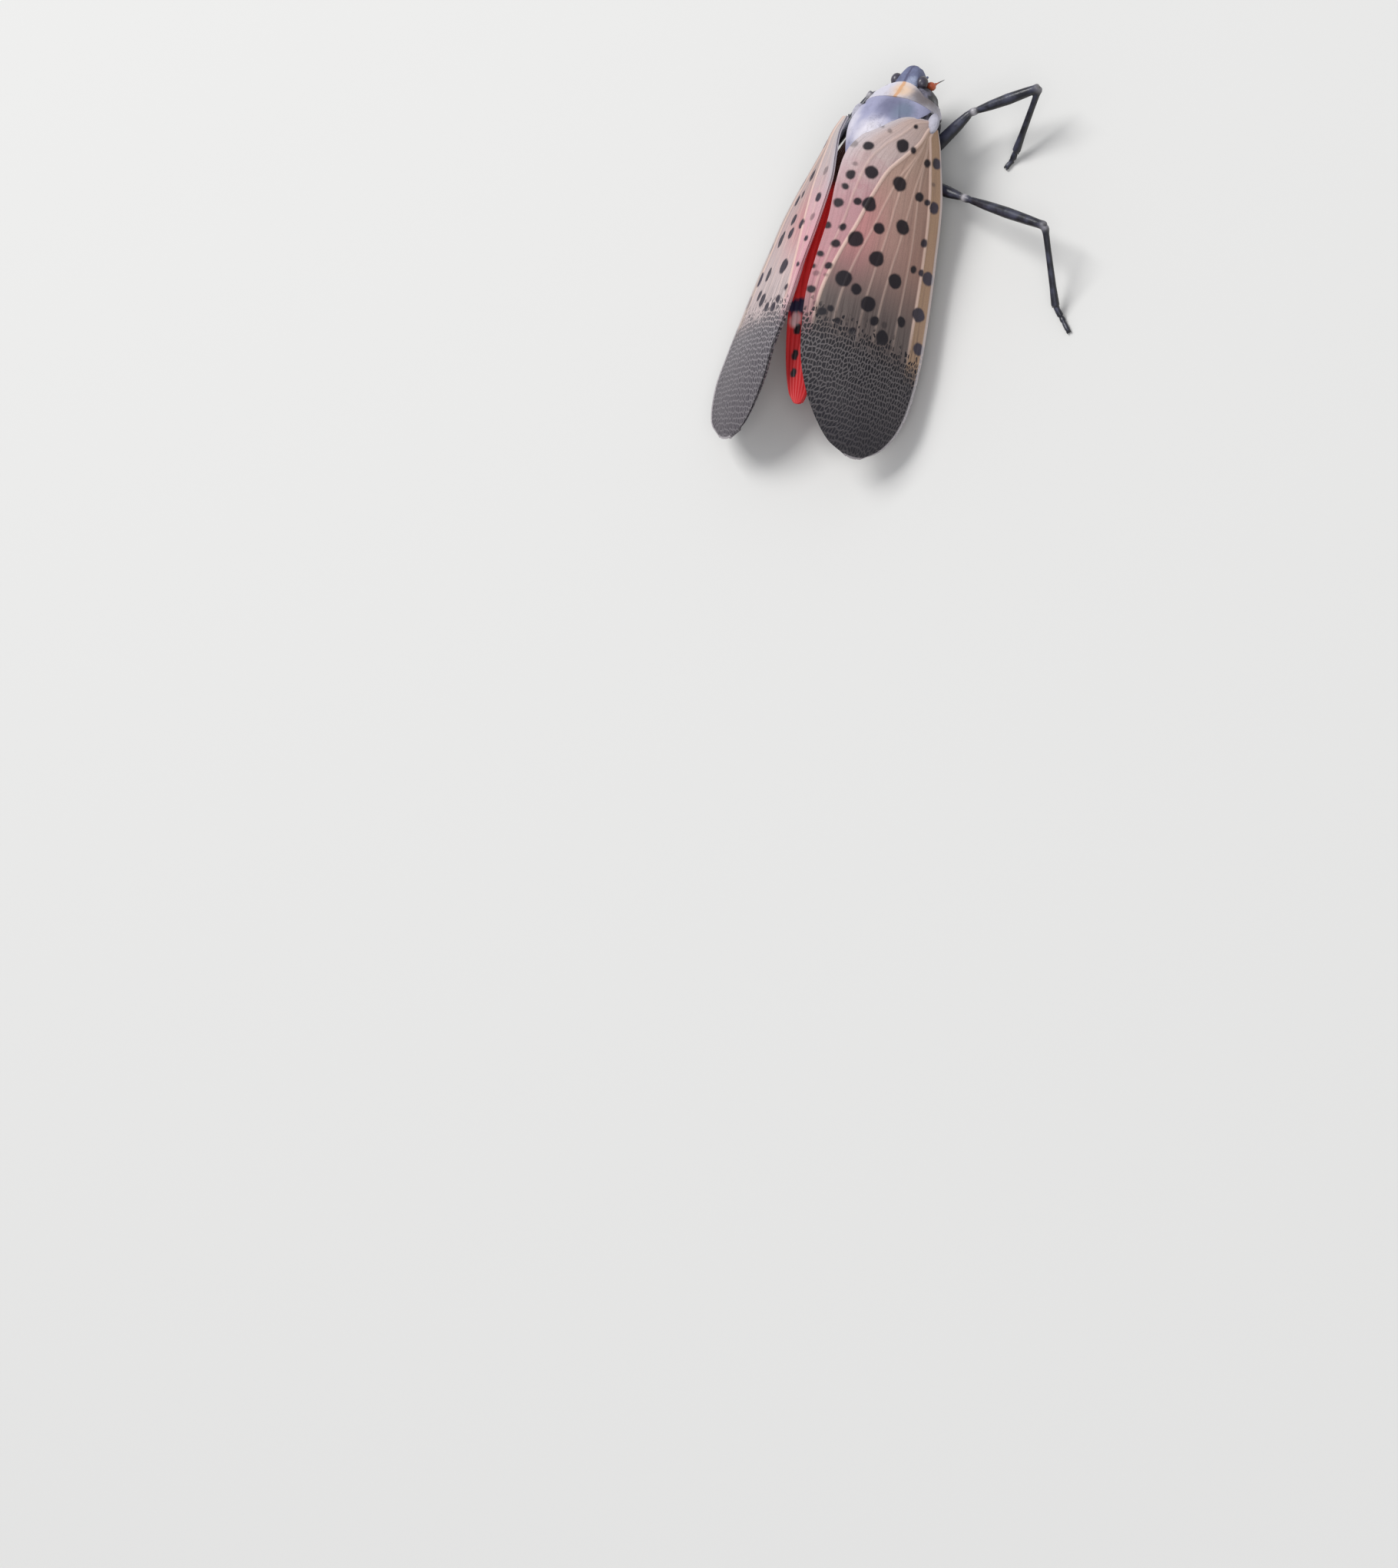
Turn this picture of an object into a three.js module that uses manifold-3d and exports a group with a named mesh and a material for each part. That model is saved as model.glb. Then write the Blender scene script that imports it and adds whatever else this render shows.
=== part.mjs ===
// Spotted lanternfly, adult, at rest with the wings roofed over the back, life size.
// Millimetres. +Y points to the head, +X to the insect's right, +Z up, and the feet stand on z = 0.
// Sizes below are told from the middle of the pronotum's hind margin (x = 0, y = 0), and the
// finished group is moved so that its origin lies under the middle of the whole insect.
import * as THREE from 'three';
import { mergeVertices } from 'three/addons/utils/BufferGeometryUtils.js';
import Module from 'manifold-3d';

const wasm = await Module();
wasm.setup();

// Driving dimensions
const GAP = 0.3;
const WING_THICKNESS = 0.5;
const VEIN_HEIGHT = 0.13;
const VEIN_HALF_WIDTH = 0.2;
const LEG_SIDES = 8;
const LEG_LENGTHS = 5;
const BODY_SIDES = 26;
const SKY = 12;

// Trunk of the body: y, half width, top, widest level, bottom
const TRUNK = [
  [-5.6, 1.9, 7.2, 3.5, 1.3],
  [-4.4, 2.1, 7.3, 3.6, 1.25],
  [-3.4, 2.3, 7.1, 3.8, 1.2],
  [-2.4, 2.4, 6.75, 4.0, 1.2],
  [-1.2, 2.45, 6.3, 4.2, 1.35],
  [0.0, 2.35, 5.8, 4.2, 1.6],
  [0.8, 1.9, 5.35, 4.1, 1.9],
  [1.6, 1.3, 4.95, 3.9, 2.3],
];
const TRUNK_FULLNESS = 2.5;
// Flanks of the trunk under the wings: how far they lie below the shields, from front to rear
const WING_BED = { frontY: -0.2, rearY: -3.2, frontDrop: 0.35, rearDrop: 1.5, inset: 0.1, headroom: 0.4 };
const FRONT_MARGIN = { middle: 1.35, falloff: 0.3 };
const HIND_MARGIN = { middle: 0.0, falloff: 0.07 };
const SCUTELLUM = { halfWidth: 2.25, shoulderY: -0.45, apexY: -3.05, apexHalfWidth: 0.25 };
const TRUNK_END_Y = -4.75;

// Abdomen: y, half width, top, widest level, bottom
const ABDOMEN = [
  [-15.6, 0.5, 2.4, 2.0, 1.5],
  [-14.6, 1.1, 3.0, 2.1, 1.2],
  [-13.0, 1.7, 3.6, 2.3, 1.0],
  [-10.5, 2.1, 4.0, 2.5, 0.9],
  [-7.5, 2.2, 4.25, 2.7, 0.95],
  [-5.05, 1.9, 4.6, 2.9, 1.2],
];
const ABDOMEN_RINGS = 7;
const RING_GROOVE = 0.1;
const ABDOMEN_TIP_Y = -14.4;
const TAIL_Y = -17;

// Head: z, half width, front y
const HEAD = [
  [1.6, 0.3, 1.55],
  [2.1, 0.6, 1.95],
  [2.8, 0.9, 2.3],
  [3.5, 1.05, 2.55],
  [4.1, 0.98, 2.74],
  [4.4, 0.88, 2.72],
  [4.7, 0.82, 2.35],
  [4.95, 0.74, 1.9],
  [5.08, 0.5, 1.6],
];
const HEAD_BACK_Y = 0.2;
const HEAD_FULLNESS = 2.3;
const EYE = { at: [1.02, 1.58, 4.5], radii: [0.4, 0.48, 0.48] };
const ANTENNA = {
  at: [1.25, 1.7, 3.75], radii: [0.32, 0.3, 0.37], bristle: [0.4, 0.75, -0.65], bristleRadii: [0.22, 0.15, 0.05],
};
const BEAK = [[0, 1.3, 1.1], [0, 0.6, 0.85], [0, -1.4, 0.7], [0, -3.6, 0.6]];
const BEAK_RADIUS = 0.25;
const TEGULA = { at: [2.6, -1.0, 4.8], radii: [0.42, 0.75, 0.36] };

// Forewings: inner margin x, y, z and costal margin x, y, z, from the root to the tip
const FOREWING_RIGHT = [
  [2.25, -0.8, 4.7, 2.8, -1.2, 4.3],
  [1.2, -1.25, 5.6, 3.0, -2.0, 3.8],
  [0.45, -2.1, 6.6, 3.15, -2.95, 3.3],
  [-0.6, -3.1, 7.3, 3.4, -4.1, 2.9],
  [-1.3, -4.3, 7.35, 3.65, -5.3, 2.6],
  [-1.3, -6.3, 7.5, 3.8, -6.8, 2.2],
  [-1.1, -8.6, 7.5, 3.95, -8.4, 1.9],
  [-1.2, -10.8, 7.4, 4.2, -10.3, 1.7],
  [-1.3, -13.0, 7.2, 4.55, -12.8, 1.6],
  [-1.1, -15.2, 6.9, 4.85, -15.2, 1.6],
  [-0.75, -17.2, 6.4, 4.95, -17.3, 1.6],
  [-0.2, -18.8, 5.8, 4.9, -18.8, 1.7],
  [0.5, -20.2, 5.0, 4.6, -20.0, 1.8],
  [1.3, -21.3, 4.05, 4.0, -21.05, 2.0],
  [2.25, -22.0, 2.9, 3.0, -21.95, 2.4],
];
const FOREWING_LEFT = [
  [-2.85, -1.45, 5.6, -3.5, -1.4, 5.05],
  [-2.8, -2.7, 6.05, -4.1, -2.1, 4.6],
  [-2.4, -4.25, 6.45, -4.8, -3.2, 3.9],
  [-2.05, -5.7, 6.7, -5.85, -4.75, 2.9],
  [-2.0, -7.1, 6.8, -6.6, -6.1, 2.3],
  [-2.1, -9.2, 6.8, -7.2, -7.7, 1.9],
  [-2.25, -11.1, 6.8, -7.55, -9.5, 1.7],
  [-2.4, -13.1, 6.7, -7.85, -11.2, 1.6],
  [-2.6, -14.9, 6.5, -8.2, -13.8, 1.5],
  [-2.95, -16.7, 6.2, -8.5, -16.8, 1.5],
  [-3.35, -18.8, 5.4, -8.55, -18.8, 1.6],
  [-4.45, -21.25, 4.1, -7.85, -21.1, 2.1],
  [-5.7, -22.25, 3.15, -6.7, -22.2, 2.6],
];
const WING_CROWN = { right: 1.25, left: 0.5 };
const WING_ROWS = 21;

// Main veins, told in shares of the wing's length and width from the inner margin
const SUTURE = { tip: 0.05, rise: 0.52, reach: 0.4, power: 2.6 };
const COSTAL_VEIN = { tip: 0.87, fall: 0.33, reach: 0.13, power: 1.4, clear: 0.12 };
const FAN_VEINS = [0.33, 0.67];

// Hindwings, folded under the forewings: inner and outer margin, from the root to the tip
const HINDWING_RIGHT = [
  [0.3, -5.05, 5.5, 1.45, -5.05, 4.9],
  [0.1, -7.0, 5.6, 1.85, -7.0, 4.6],
  [0.0, -10.0, 5.35, 1.9, -10.0, 4.15],
  [0.0, -13.5, 4.9, 1.9, -13.5, 3.75],
  [0.2, -16.0, 4.5, 1.7, -16.0, 3.5],
  [0.6, -17.6, 4.1, 1.3, -17.5, 3.6],
];
const HINDWING_LEFT = [
  [-2.2, -2.65, 5.15, -3.1, -2.3, 4.4],
  [-1.7, -4.1, 5.4, -3.7, -3.75, 4.1],
  [-0.9, -5.6, 5.6, -4.0, -5.5, 3.9],
  [-0.5, -8.0, 5.6, -4.2, -8.0, 3.9],
  [-0.5, -11.0, 5.4, -4.2, -11.0, 3.9],
  [-0.5, -14.0, 5.1, -3.8, -14.0, 3.8],
  [-0.6, -16.8, 4.7, -3.1, -16.8, 3.7],
  [-0.8, -18.7, 4.2, -2.4, -18.6, 3.7],
  [-1.1, -19.5, 4.0, -1.9, -19.4, 3.8],
];
const HINDWING_CROWN = 0.35;
const HINDWING_ROWS = 12;
const HINDWING_VEINS = [0.25, 0.5, 0.75];

// Legs: where the coxa starts, the joints in order, and where the foot ends
const LEGS = {
  fore_right: [
    [1.3, -2.1, 1.9], [3.85, 0.65, 2.9], [8.2, 2.55, 3.6], [6.45, -0.6, 0.6], [6.2, -1.05, 0.2], [5.9, -1.6, 0.2],
  ],
  fore_left: [
    [-1.3, -1.0, 1.9], [-3.0, 1.1, 3.0], [-4.9, -3.0, 2.8], [-5.4, -0.7, 0.6], [-5.5, -0.2, 0.2], [-5.6, 0.4, 0.2],
  ],
  mid_right: [
    [1.3, -3.8, 1.9], [4.5, -4.45, 2.1], [11.05, -5.9, 3.4], [11.9, -9.9, 0.6], [12.3, -10.4, 0.2], [13.0, -11.2, 0.2],
  ],
  mid_left: [
    [-1.3, -3.4, 1.9], [-3.9, -4.3, 2.0], [-6.0, -9.8, 1.5], [-7.0, -5.7, 0.55], [-7.15, -5.1, 0.2], [-7.2, -4.4, 0.2],
  ],
  hind_right: [
    [1.1, -4.7, 1.8], [2.6, -5.9, 1.4], [3.0, -10.4, 1.5], [3.4, -16.5, 0.6], [3.45, -17.1, 0.2], [3.5, -18.0, 0.2],
  ],
  hind_left: [
    [-1.1, -4.7, 1.8], [-2.6, -5.9, 1.4], [-3.2, -10.4, 1.5], [-4.0, -16.0, 0.6], [-4.1, -16.6, 0.2], [-4.2, -17.5, 0.2],
  ],
};
const COXA_RADII = [0.42, 0.4, 0.34];
const FEMUR_RADII = [0.27, 0.36, 0.3];
const TIBIA_RADII = [0.27, 0.26, 0.28];
const TARSUS_RADII = [0.26, 0.27, 0.25];
const HIND_SPINES = {
  count: 5, from: 0.28, to: 0.9, length: 0.75, out: 0.8, back: -0.45, down: -0.25, radii: [0.22, 0.15, 0.04],
};

// Finishes
const finish = (color, roughness) => new THREE.MeshStandardMaterial({ color, roughness, metalness: 0 });
const FINISH = {
  wing: finish('#c4a79a', 0.6),
  hindwing: finish('#c8282c', 0.55),
  shield: finish('#8f93a8', 0.65),
  collar: finish('#cdbfb0', 0.65),
  head: finish('#8086a8', 0.6),
  eye: finish('#2a2023', 0.2),
  antenna: finish('#d0582c', 0.45),
  belly: finish('#c9a53a', 0.6),
  limb: finish('#1d1c22', 0.4),
};

// Solids

/** Turns a closed geometry into a solid, with doubled points merged and its faces pointing out. */
function solidOf(geometry) {
  geometry.deleteAttribute('normal');
  geometry.deleteAttribute('uv');
  const merged = mergeVertices(geometry, 1e-4);
  const points = merged.getAttribute('position');
  const corner = (i) => new THREE.Vector3().fromBufferAttribute(points, i);
  const triangles = [];
  let volume = 0;
  for (let i = 0; i < merged.index.count; i += 3) {
    const [a, b, c] = [0, 1, 2].map((k) => merged.index.getX(i + k));
    if (a === b || b === c || c === a) continue;
    triangles.push([a, b, c]);
    volume += corner(a).dot(corner(b).cross(corner(c)));
  }
  const facing = volume < 0 ? triangles.map(([a, b, c]) => [a, c, b]) : triangles;
  return new wasm.Manifold(new wasm.Mesh({
    numProp: 3,
    vertProperties: Float32Array.from(points.array),
    triVerts: Uint32Array.from(facing.flat()),
  }));
}

/** Moves every point of a geometry by a function, and makes the result a solid. */
function shaped(geometry, place) {
  const points = geometry.getAttribute('position');
  for (let i = 0; i < points.count; i += 1) {
    points.setXYZ(i, ...place(new THREE.Vector3().fromBufferAttribute(points, i)).toArray());
  }
  return solidOf(geometry);
}

/** Keeps the largest closed body of a solid. */
function largest(solid) {
  return solid.decompose().reduce((best, body) => (body.volume() > best.volume() ? body : best));
}

/** Makes a named mesh of a solid. */
function part(name, solid, material) {
  const mesh = largest(solid).getMesh();
  const geometry = new THREE.BufferGeometry();
  geometry.setAttribute('position', new THREE.BufferAttribute(mesh.vertProperties, mesh.numProp));
  geometry.setIndex(new THREE.BufferAttribute(mesh.triVerts, 1));
  geometry.computeVertexNormals();
  const result = new THREE.Mesh(geometry, material);
  result.name = name;
  return result;
}

/** Gives a smooth function through rows of [place, value, value, ...]. */
function through(rows) {
  const places = rows.map((row) => row[0]);
  const values = rows.flatMap((row) => row.slice(1));
  const curve = new THREE.CubicInterpolant(places, values, rows[0].length - 1);
  return (place) => Array.from(curve.evaluate(place));
}

/** A rounded body along y, from rows of y, half width, top, widest level and bottom. */
function bodyForm(rows, lengths, fullness, swell) {
  const section = through(rows);
  const [start, end] = [rows[0][0], rows[rows.length - 1][0]];
  const round = (value) => Math.sign(value) * Math.abs(value) ** (2 / fullness);
  const cylinder = new THREE.CylinderGeometry(1, 1, 1, BODY_SIDES, lengths);
  return shaped(cylinder, (v) => {
    const y = THREE.MathUtils.lerp(start, end, v.y + 0.5);
    const [halfWidth, top, widest, bottom] = section(y);
    const grow = swell(y);
    const reach = Math.min(1, Math.hypot(v.x, v.z));
    const angle = Math.atan2(v.z, v.x);
    const height = angle > 0 ? top - widest : widest - bottom;
    return new THREE.Vector3(
      reach * round(Math.cos(angle)) * (halfWidth + grow),
      y,
      widest + reach * round(Math.sin(angle)) * (height + grow),
    );
  });
}

/** An upright block over a plan outline. */
function over(outline) {
  const block = new THREE.ExtrudeGeometry(outline, { depth: SKY, bevelEnabled: false, curveSegments: 16 });
  return solidOf(block);
}

/** A plan outline whose front edge is bowed like a collar, back to a straight rear. */
function bowedPlan(middle, falloff, rearY) {
  const reach = 4;
  const drop = falloff * reach * reach;
  const outline = new THREE.Shape();
  outline.moveTo(-reach, middle - drop);
  outline.quadraticCurveTo(0, middle + drop, reach, middle - drop);
  outline.lineTo(reach, rearY);
  outline.lineTo(-reach, rearY);
  return outline;
}

/** An egg-shaped solid. */
function egg(at, radii, grow = 0) {
  const ball = new THREE.SphereGeometry(1, 14, 10);
  return shaped(ball, (v) => new THREE.Vector3(
    at[0] + v.x * (radii[0] + grow),
    at[1] + v.y * (radii[1] + grow),
    at[2] + v.z * (radii[2] + grow),
  ));
}

/** A tapering limb along a path, with rounded ends. */
function limb(path, radii, grow = 0, sides = LEG_SIDES, lengths = LEG_LENGTHS) {
  const points = path.map((p) => new THREE.Vector3(...p));
  const curve = points.length > 2 ? new THREE.CatmullRomCurve3(points) : new THREE.LineCurve3(...points);
  const radius = through(radii.map((r, i) => [i / (radii.length - 1), r]));
  const cylinder = new THREE.CylinderGeometry(1, 1, 1, sides, lengths);
  return shaped(cylinder, (v) => {
    const t = v.y + 0.5;
    const along = curve.getTangent(t);
    const side = new THREE.Vector3(along.y, -along.x, 0).normalize();
    const up = new THREE.Vector3().crossVectors(side, along);
    const size = radius(t)[0] + grow;
    const overrun = (t < 0.01 ? -grow : 0) + (t > 0.99 ? grow : 0);
    return curve.getPoint(t)
      .addScaledVector(along, overrun)
      .addScaledVector(side, v.x * size)
      .addScaledVector(up, v.z * size);
  });
}

/** A thin curved plate, with the same rows, columns and triangle splits on both of its faces. */
function plate(rows, columns, face) {
  const points = [];
  for (const top of [true, false]) {
    for (let row = 0; row < rows; row += 1) {
      for (let column = 0; column < columns; column += 1) points.push(...face(row, column, top).toArray());
    }
  }
  const at = (row, column, top) => (top ? 0 : rows * columns) + row * columns + column;
  const triangles = [];
  for (let row = 0; row < rows - 1; row += 1) {
    for (let column = 0; column < columns - 1; column += 1) {
      for (const top of [true, false]) {
        const [a, b, c, d] = [
          at(row, column, top), at(row, column + 1, top), at(row + 1, column + 1, top), at(row + 1, column, top),
        ];
        triangles.push(...(top ? [a, b, c, a, c, d] : [a, c, b, a, d, c]));
      }
    }
  }
  const rim = [];
  for (let column = 0; column < columns - 1; column += 1) rim.push([0, column]);
  for (let row = 0; row < rows - 1; row += 1) rim.push([row, columns - 1]);
  for (let column = columns - 1; column > 0; column -= 1) rim.push([rows - 1, column]);
  for (let row = rows - 1; row > 0; row -= 1) rim.push([row, 0]);
  rim.forEach(([row, column], i) => {
    const [nextRow, nextColumn] = rim[(i + 1) % rim.length];
    const [a, b] = [at(row, column, true), at(nextRow, nextColumn, true)];
    const [c, d] = [at(nextRow, nextColumn, false), at(row, column, false)];
    triangles.push(a, d, c, a, c, b);
  });
  const geometry = new THREE.BufferGeometry();
  geometry.setAttribute('position', new THREE.Float32BufferAttribute(points, 3));
  geometry.setIndex(triangles);
  return solidOf(geometry);
}

/** Where a forewing's main veins cross it: the middle of the clavus, its suture, two in the corium and the costal. */
function forewingVeins(t) {
  const suture = SUTURE.tip + SUTURE.rise * Math.exp(-((t / SUTURE.reach) ** SUTURE.power));
  const fallen = COSTAL_VEIN.fall * Math.exp(-((t / COSTAL_VEIN.reach) ** COSTAL_VEIN.power));
  const costal = Math.max(COSTAL_VEIN.tip - fallen, suture + COSTAL_VEIN.clear);
  return [suture / 2, suture, ...FAN_VEINS.map((share) => suture + (costal - suture) * share), costal];
}

/** A wing between two margins, crowned across, with its veins as ridges raised in the upper face. */
function wing({ margins, crown, rows, veins }) {
  const inner = new THREE.CatmullRomCurve3(margins.map((m) => new THREE.Vector3(m[0], m[1], m[2])));
  const outer = new THREE.CatmullRomCurve3(margins.map((m) => new THREE.Vector3(m[3], m[4], m[5])));
  const side = Math.sign(margins[3][3]);

  const middle = (t, v) => {
    const [from, to] = [inner.getPoint(t), outer.getPoint(t)];
    const chord = new THREE.Vector3().subVectors(to, from);
    const axis = new THREE.Vector3(0, -1, 0);
    const outwards = new THREE.Vector3().crossVectors(axis, chord).multiplyScalar(side).normalize();
    const bow = crown * (chord.length() / 8) * Math.sin(Math.PI * v ** 0.75);
    return from.addScaledVector(chord, v).addScaledVector(outwards, bow);
  };
  const normal = (t, v) => {
    const step = 1e-3;
    const along = middle(Math.min(1, t + step), v).sub(middle(Math.max(0, t - step), v));
    const across = middle(t, Math.min(1, v + step)).sub(middle(t, Math.max(0, v - step)));
    return along.cross(across).multiplyScalar(side).normalize();
  };
  const lanes = (t) => {
    const width = inner.getPoint(t).distanceTo(outer.getPoint(t));
    const places = [0, ...veins(t), 1];
    const result = [[0, 0]];
    for (let i = 1; i < places.length - 1; i += 1) {
      const room = Math.min(places[i] - places[i - 1], places[i + 1] - places[i]);
      const half = Math.min(VEIN_HALF_WIDTH / width, room / 3);
      const rise = VEIN_HEIGHT * Math.min(1, (room * width) / (3 * VEIN_HALF_WIDTH));
      result.push([places[i] - half, 0], [places[i], rise], [places[i] + half, 0]);
      if (i > 1) result.push([(places[i] + places[i + 1]) / 2, 0]);
    }
    return [...result, [1, 0]];
  };
  const columns = lanes(0.5).length;
  return plate(rows, columns, (row, column, top) => {
    const t = row / (rows - 1);
    const [v, rise] = lanes(t)[column];
    const lift = top ? rise : -WING_THICKNESS;
    return middle(t, v).addScaledVector(normal(t, v), lift);
  });
}

// Body

/** The trunk, with its flanks lowered where the wings lie on them if bed is true. */
function trunk(bed, grow = 0) {
  const rows = TRUNK.map(([y, halfWidth, top, widest, bottom]) => {
    if (!bed) return [y, halfWidth, top, widest, bottom];
    const back = THREE.MathUtils.smoothstep(-y, -WING_BED.frontY, -WING_BED.rearY);
    const flank = top - THREE.MathUtils.lerp(WING_BED.frontDrop, WING_BED.rearDrop, back);
    return [y, halfWidth - WING_BED.inset, flank, Math.min(widest, flank - WING_BED.headroom), bottom];
  });
  return bodyForm(rows, 18, TRUNK_FULLNESS, () => grow);
}

/** The three-sided plan of the mesonotum and scutellum. */
function scutellumPlan(grow) {
  const { halfWidth, shoulderY, apexY, apexHalfWidth } = SCUTELLUM;
  const outline = new THREE.Shape();
  outline.moveTo(-halfWidth - grow, 2);
  outline.lineTo(-halfWidth - grow, shoulderY - grow * 0.3);
  outline.quadraticCurveTo(-halfWidth * 0.45 - grow, (shoulderY + apexY) / 2.1, -apexHalfWidth - grow * 0.7, apexY - grow);
  outline.lineTo(apexHalfWidth + grow * 0.7, apexY - grow);
  outline.quadraticCurveTo(halfWidth * 0.45 + grow, (shoulderY + apexY) / 2.1, halfWidth + grow, shoulderY - grow * 0.3);
  outline.lineTo(halfWidth + grow, 2);
  return outline;
}

/** The thorax: lowered flanks, with the mesonotum and scutellum standing up from them. */
function thorax(grow = 0) {
  const behindCollar = over(bowedPlan(HIND_MARGIN.middle - GAP / 2 + grow, HIND_MARGIN.falloff, TRUNK_END_Y - grow));
  const shield = trunk(false, grow).intersect(over(scutellumPlan(grow)));
  return trunk(true, grow).add(shield).intersect(behindCollar);
}

/** The pronotum with the sides of the first segment. */
function collar(grow = 0) {
  const behindHead = over(bowedPlan(FRONT_MARGIN.middle + grow, FRONT_MARGIN.falloff, TRUNK_END_Y));
  const behindCollar = over(bowedPlan(HIND_MARGIN.middle + GAP / 2 - grow, HIND_MARGIN.falloff, TRUNK_END_Y - 1));
  return trunk(false, grow).intersect(behindHead).subtract(behindCollar);
}

/** The head, without its eyes. */
function head(grow = 0) {
  const section = through(HEAD);
  const [bottom, top] = [HEAD[0][0], HEAD[HEAD.length - 1][0]];
  const round = (value) => Math.sign(value) * Math.abs(value) ** (2 / HEAD_FULLNESS);
  const cylinder = new THREE.CylinderGeometry(1, 1, 1, BODY_SIDES, 14);
  const full = shaped(cylinder, (v) => {
    const level = THREE.MathUtils.lerp(bottom, top, v.y + 0.5);
    const [halfWidth, front] = section(level);
    const depth = (front - HEAD_BACK_Y) / 2;
    const reach = Math.min(1, Math.hypot(v.x, v.z));
    const angle = Math.atan2(v.z, v.x);
    return new THREE.Vector3(
      reach * round(Math.cos(angle)) * (halfWidth + grow),
      HEAD_BACK_Y + depth + reach * round(Math.sin(angle)) * (depth + grow),
      level + (v.y > 0.49 ? grow : 0) - (v.y < -0.49 ? grow : 0),
    );
  });
  return full.subtract(over(bowedPlan(FRONT_MARGIN.middle + GAP, FRONT_MARGIN.falloff, TRUNK_END_Y)));
}

/** The abdomen: rings with a groove between each two. */
function abdomen(grow = 0) {
  const rings = (y) => {
    const place = ((y - ABDOMEN[0][0]) / (ABDOMEN[5][0] - ABDOMEN[0][0])) * ABDOMEN_RINGS;
    const fraction = place - Math.floor(place);
    return grow - RING_GROOVE * (1 - Math.sin(Math.PI * fraction) ** 0.5);
  };
  return bodyForm(ABDOMEN, ABDOMEN_RINGS * 3, 2.1, rings);
}

/** Cuts a block off everything behind or in front of a level of y. */
function yBlock(from, to) {
  const block = new THREE.BoxGeometry(20, to - from, SKY * 2);
  block.translate(0, (from + to) / 2, 0);
  return solidOf(block);
}

const mirrored = (at, side) => [at[0] * side, at[1], at[2]];

/** The antenna: a bulb with a fine bristle. */
function antenna(side) {
  const at = mirrored(ANTENNA.at, side);
  const tip = mirrored(ANTENNA.bristle, side).map((length, i) => at[i] + length);
  const bristle = limb([at, tip], ANTENNA.bristleRadii, 0, 6, 3);
  return egg(at, ANTENNA.radii).add(bristle);
}

/** Short spines standing out along the outer side of a hind tibia. */
function tibiaSpines(knee, ankle, side) {
  const from = new THREE.Vector3(...knee);
  const to = new THREE.Vector3(...ankle);
  const spines = [];
  for (let i = 0; i < HIND_SPINES.count; i += 1) {
    const place = THREE.MathUtils.lerp(HIND_SPINES.from, HIND_SPINES.to, i / (HIND_SPINES.count - 1));
    const root = new THREE.Vector3().lerpVectors(from, to, place);
    const way = new THREE.Vector3(side * HIND_SPINES.out, HIND_SPINES.back, HIND_SPINES.down);
    const point = root.clone().add(way.setLength(HIND_SPINES.length));
    spines.push(limb([root.toArray(), point.toArray()], HIND_SPINES.radii, 0, 5, 2));
  }
  return spines;
}

// Assembly
const insect = new THREE.Group();
const floor = over(new THREE.Shape([
  new THREE.Vector2(-30, -30), new THREE.Vector2(30, -30), new THREE.Vector2(30, 30), new THREE.Vector2(-30, 30),
]));

const eyes = { right: 1, left: -1 };
const eyeAt = (side, grow) => egg(mirrored(EYE.at, side), EYE.radii, grow);
const headWithSockets = head().subtract(eyeAt(1, GAP)).subtract(eyeAt(-1, GAP));
insect.add(part('head', headWithSockets, FINISH.head));
insect.add(part('pronotum', collar().subtract(eyeAt(1, GAP)).subtract(eyeAt(-1, GAP)), FINISH.collar));
insect.add(part('thorax', thorax(), FINISH.shield));
insect.add(part('beak', limb(BEAK, [BEAK_RADIUS, BEAK_RADIUS, 0.2, 0.12]), FINISH.limb));
insect.add(part('abdomen', abdomen().subtract(yBlock(TAIL_Y, ABDOMEN_TIP_Y + GAP / 2)), FINISH.belly));
insect.add(part('abdomen_tip', abdomen().subtract(yBlock(ABDOMEN_TIP_Y - GAP / 2, 0)), FINISH.limb));

const cleared = thorax(GAP).add(collar(GAP)).add(abdomen(GAP));
for (const [name, side] of Object.entries(eyes)) {
  const tegula = (grow) => egg(mirrored(TEGULA.at, side), TEGULA.radii, grow);
  insect.add(part(`eye_${name}`, eyeAt(side, 0), FINISH.eye));
  insect.add(part(`antenna_${name}`, antenna(side).subtract(head(GAP)), FINISH.antenna));
  insect.add(part(`tegula_${name}`, tegula(0).subtract(cleared), FINISH.collar));

  const forewing = wing({
    margins: side > 0 ? FOREWING_RIGHT : FOREWING_LEFT,
    crown: WING_CROWN[name],
    rows: WING_ROWS,
    veins: forewingVeins,
  });
  insect.add(part(`forewing_${name}`, forewing.subtract(cleared).subtract(tegula(GAP)), FINISH.wing));
  const hindwing = wing({
    margins: side > 0 ? HINDWING_RIGHT : HINDWING_LEFT,
    crown: HINDWING_CROWN,
    rows: HINDWING_ROWS,
    veins: () => HINDWING_VEINS,
  });
  insect.add(part(`hindwing_${name}`, hindwing.subtract(cleared), FINISH.hindwing));
}

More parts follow.
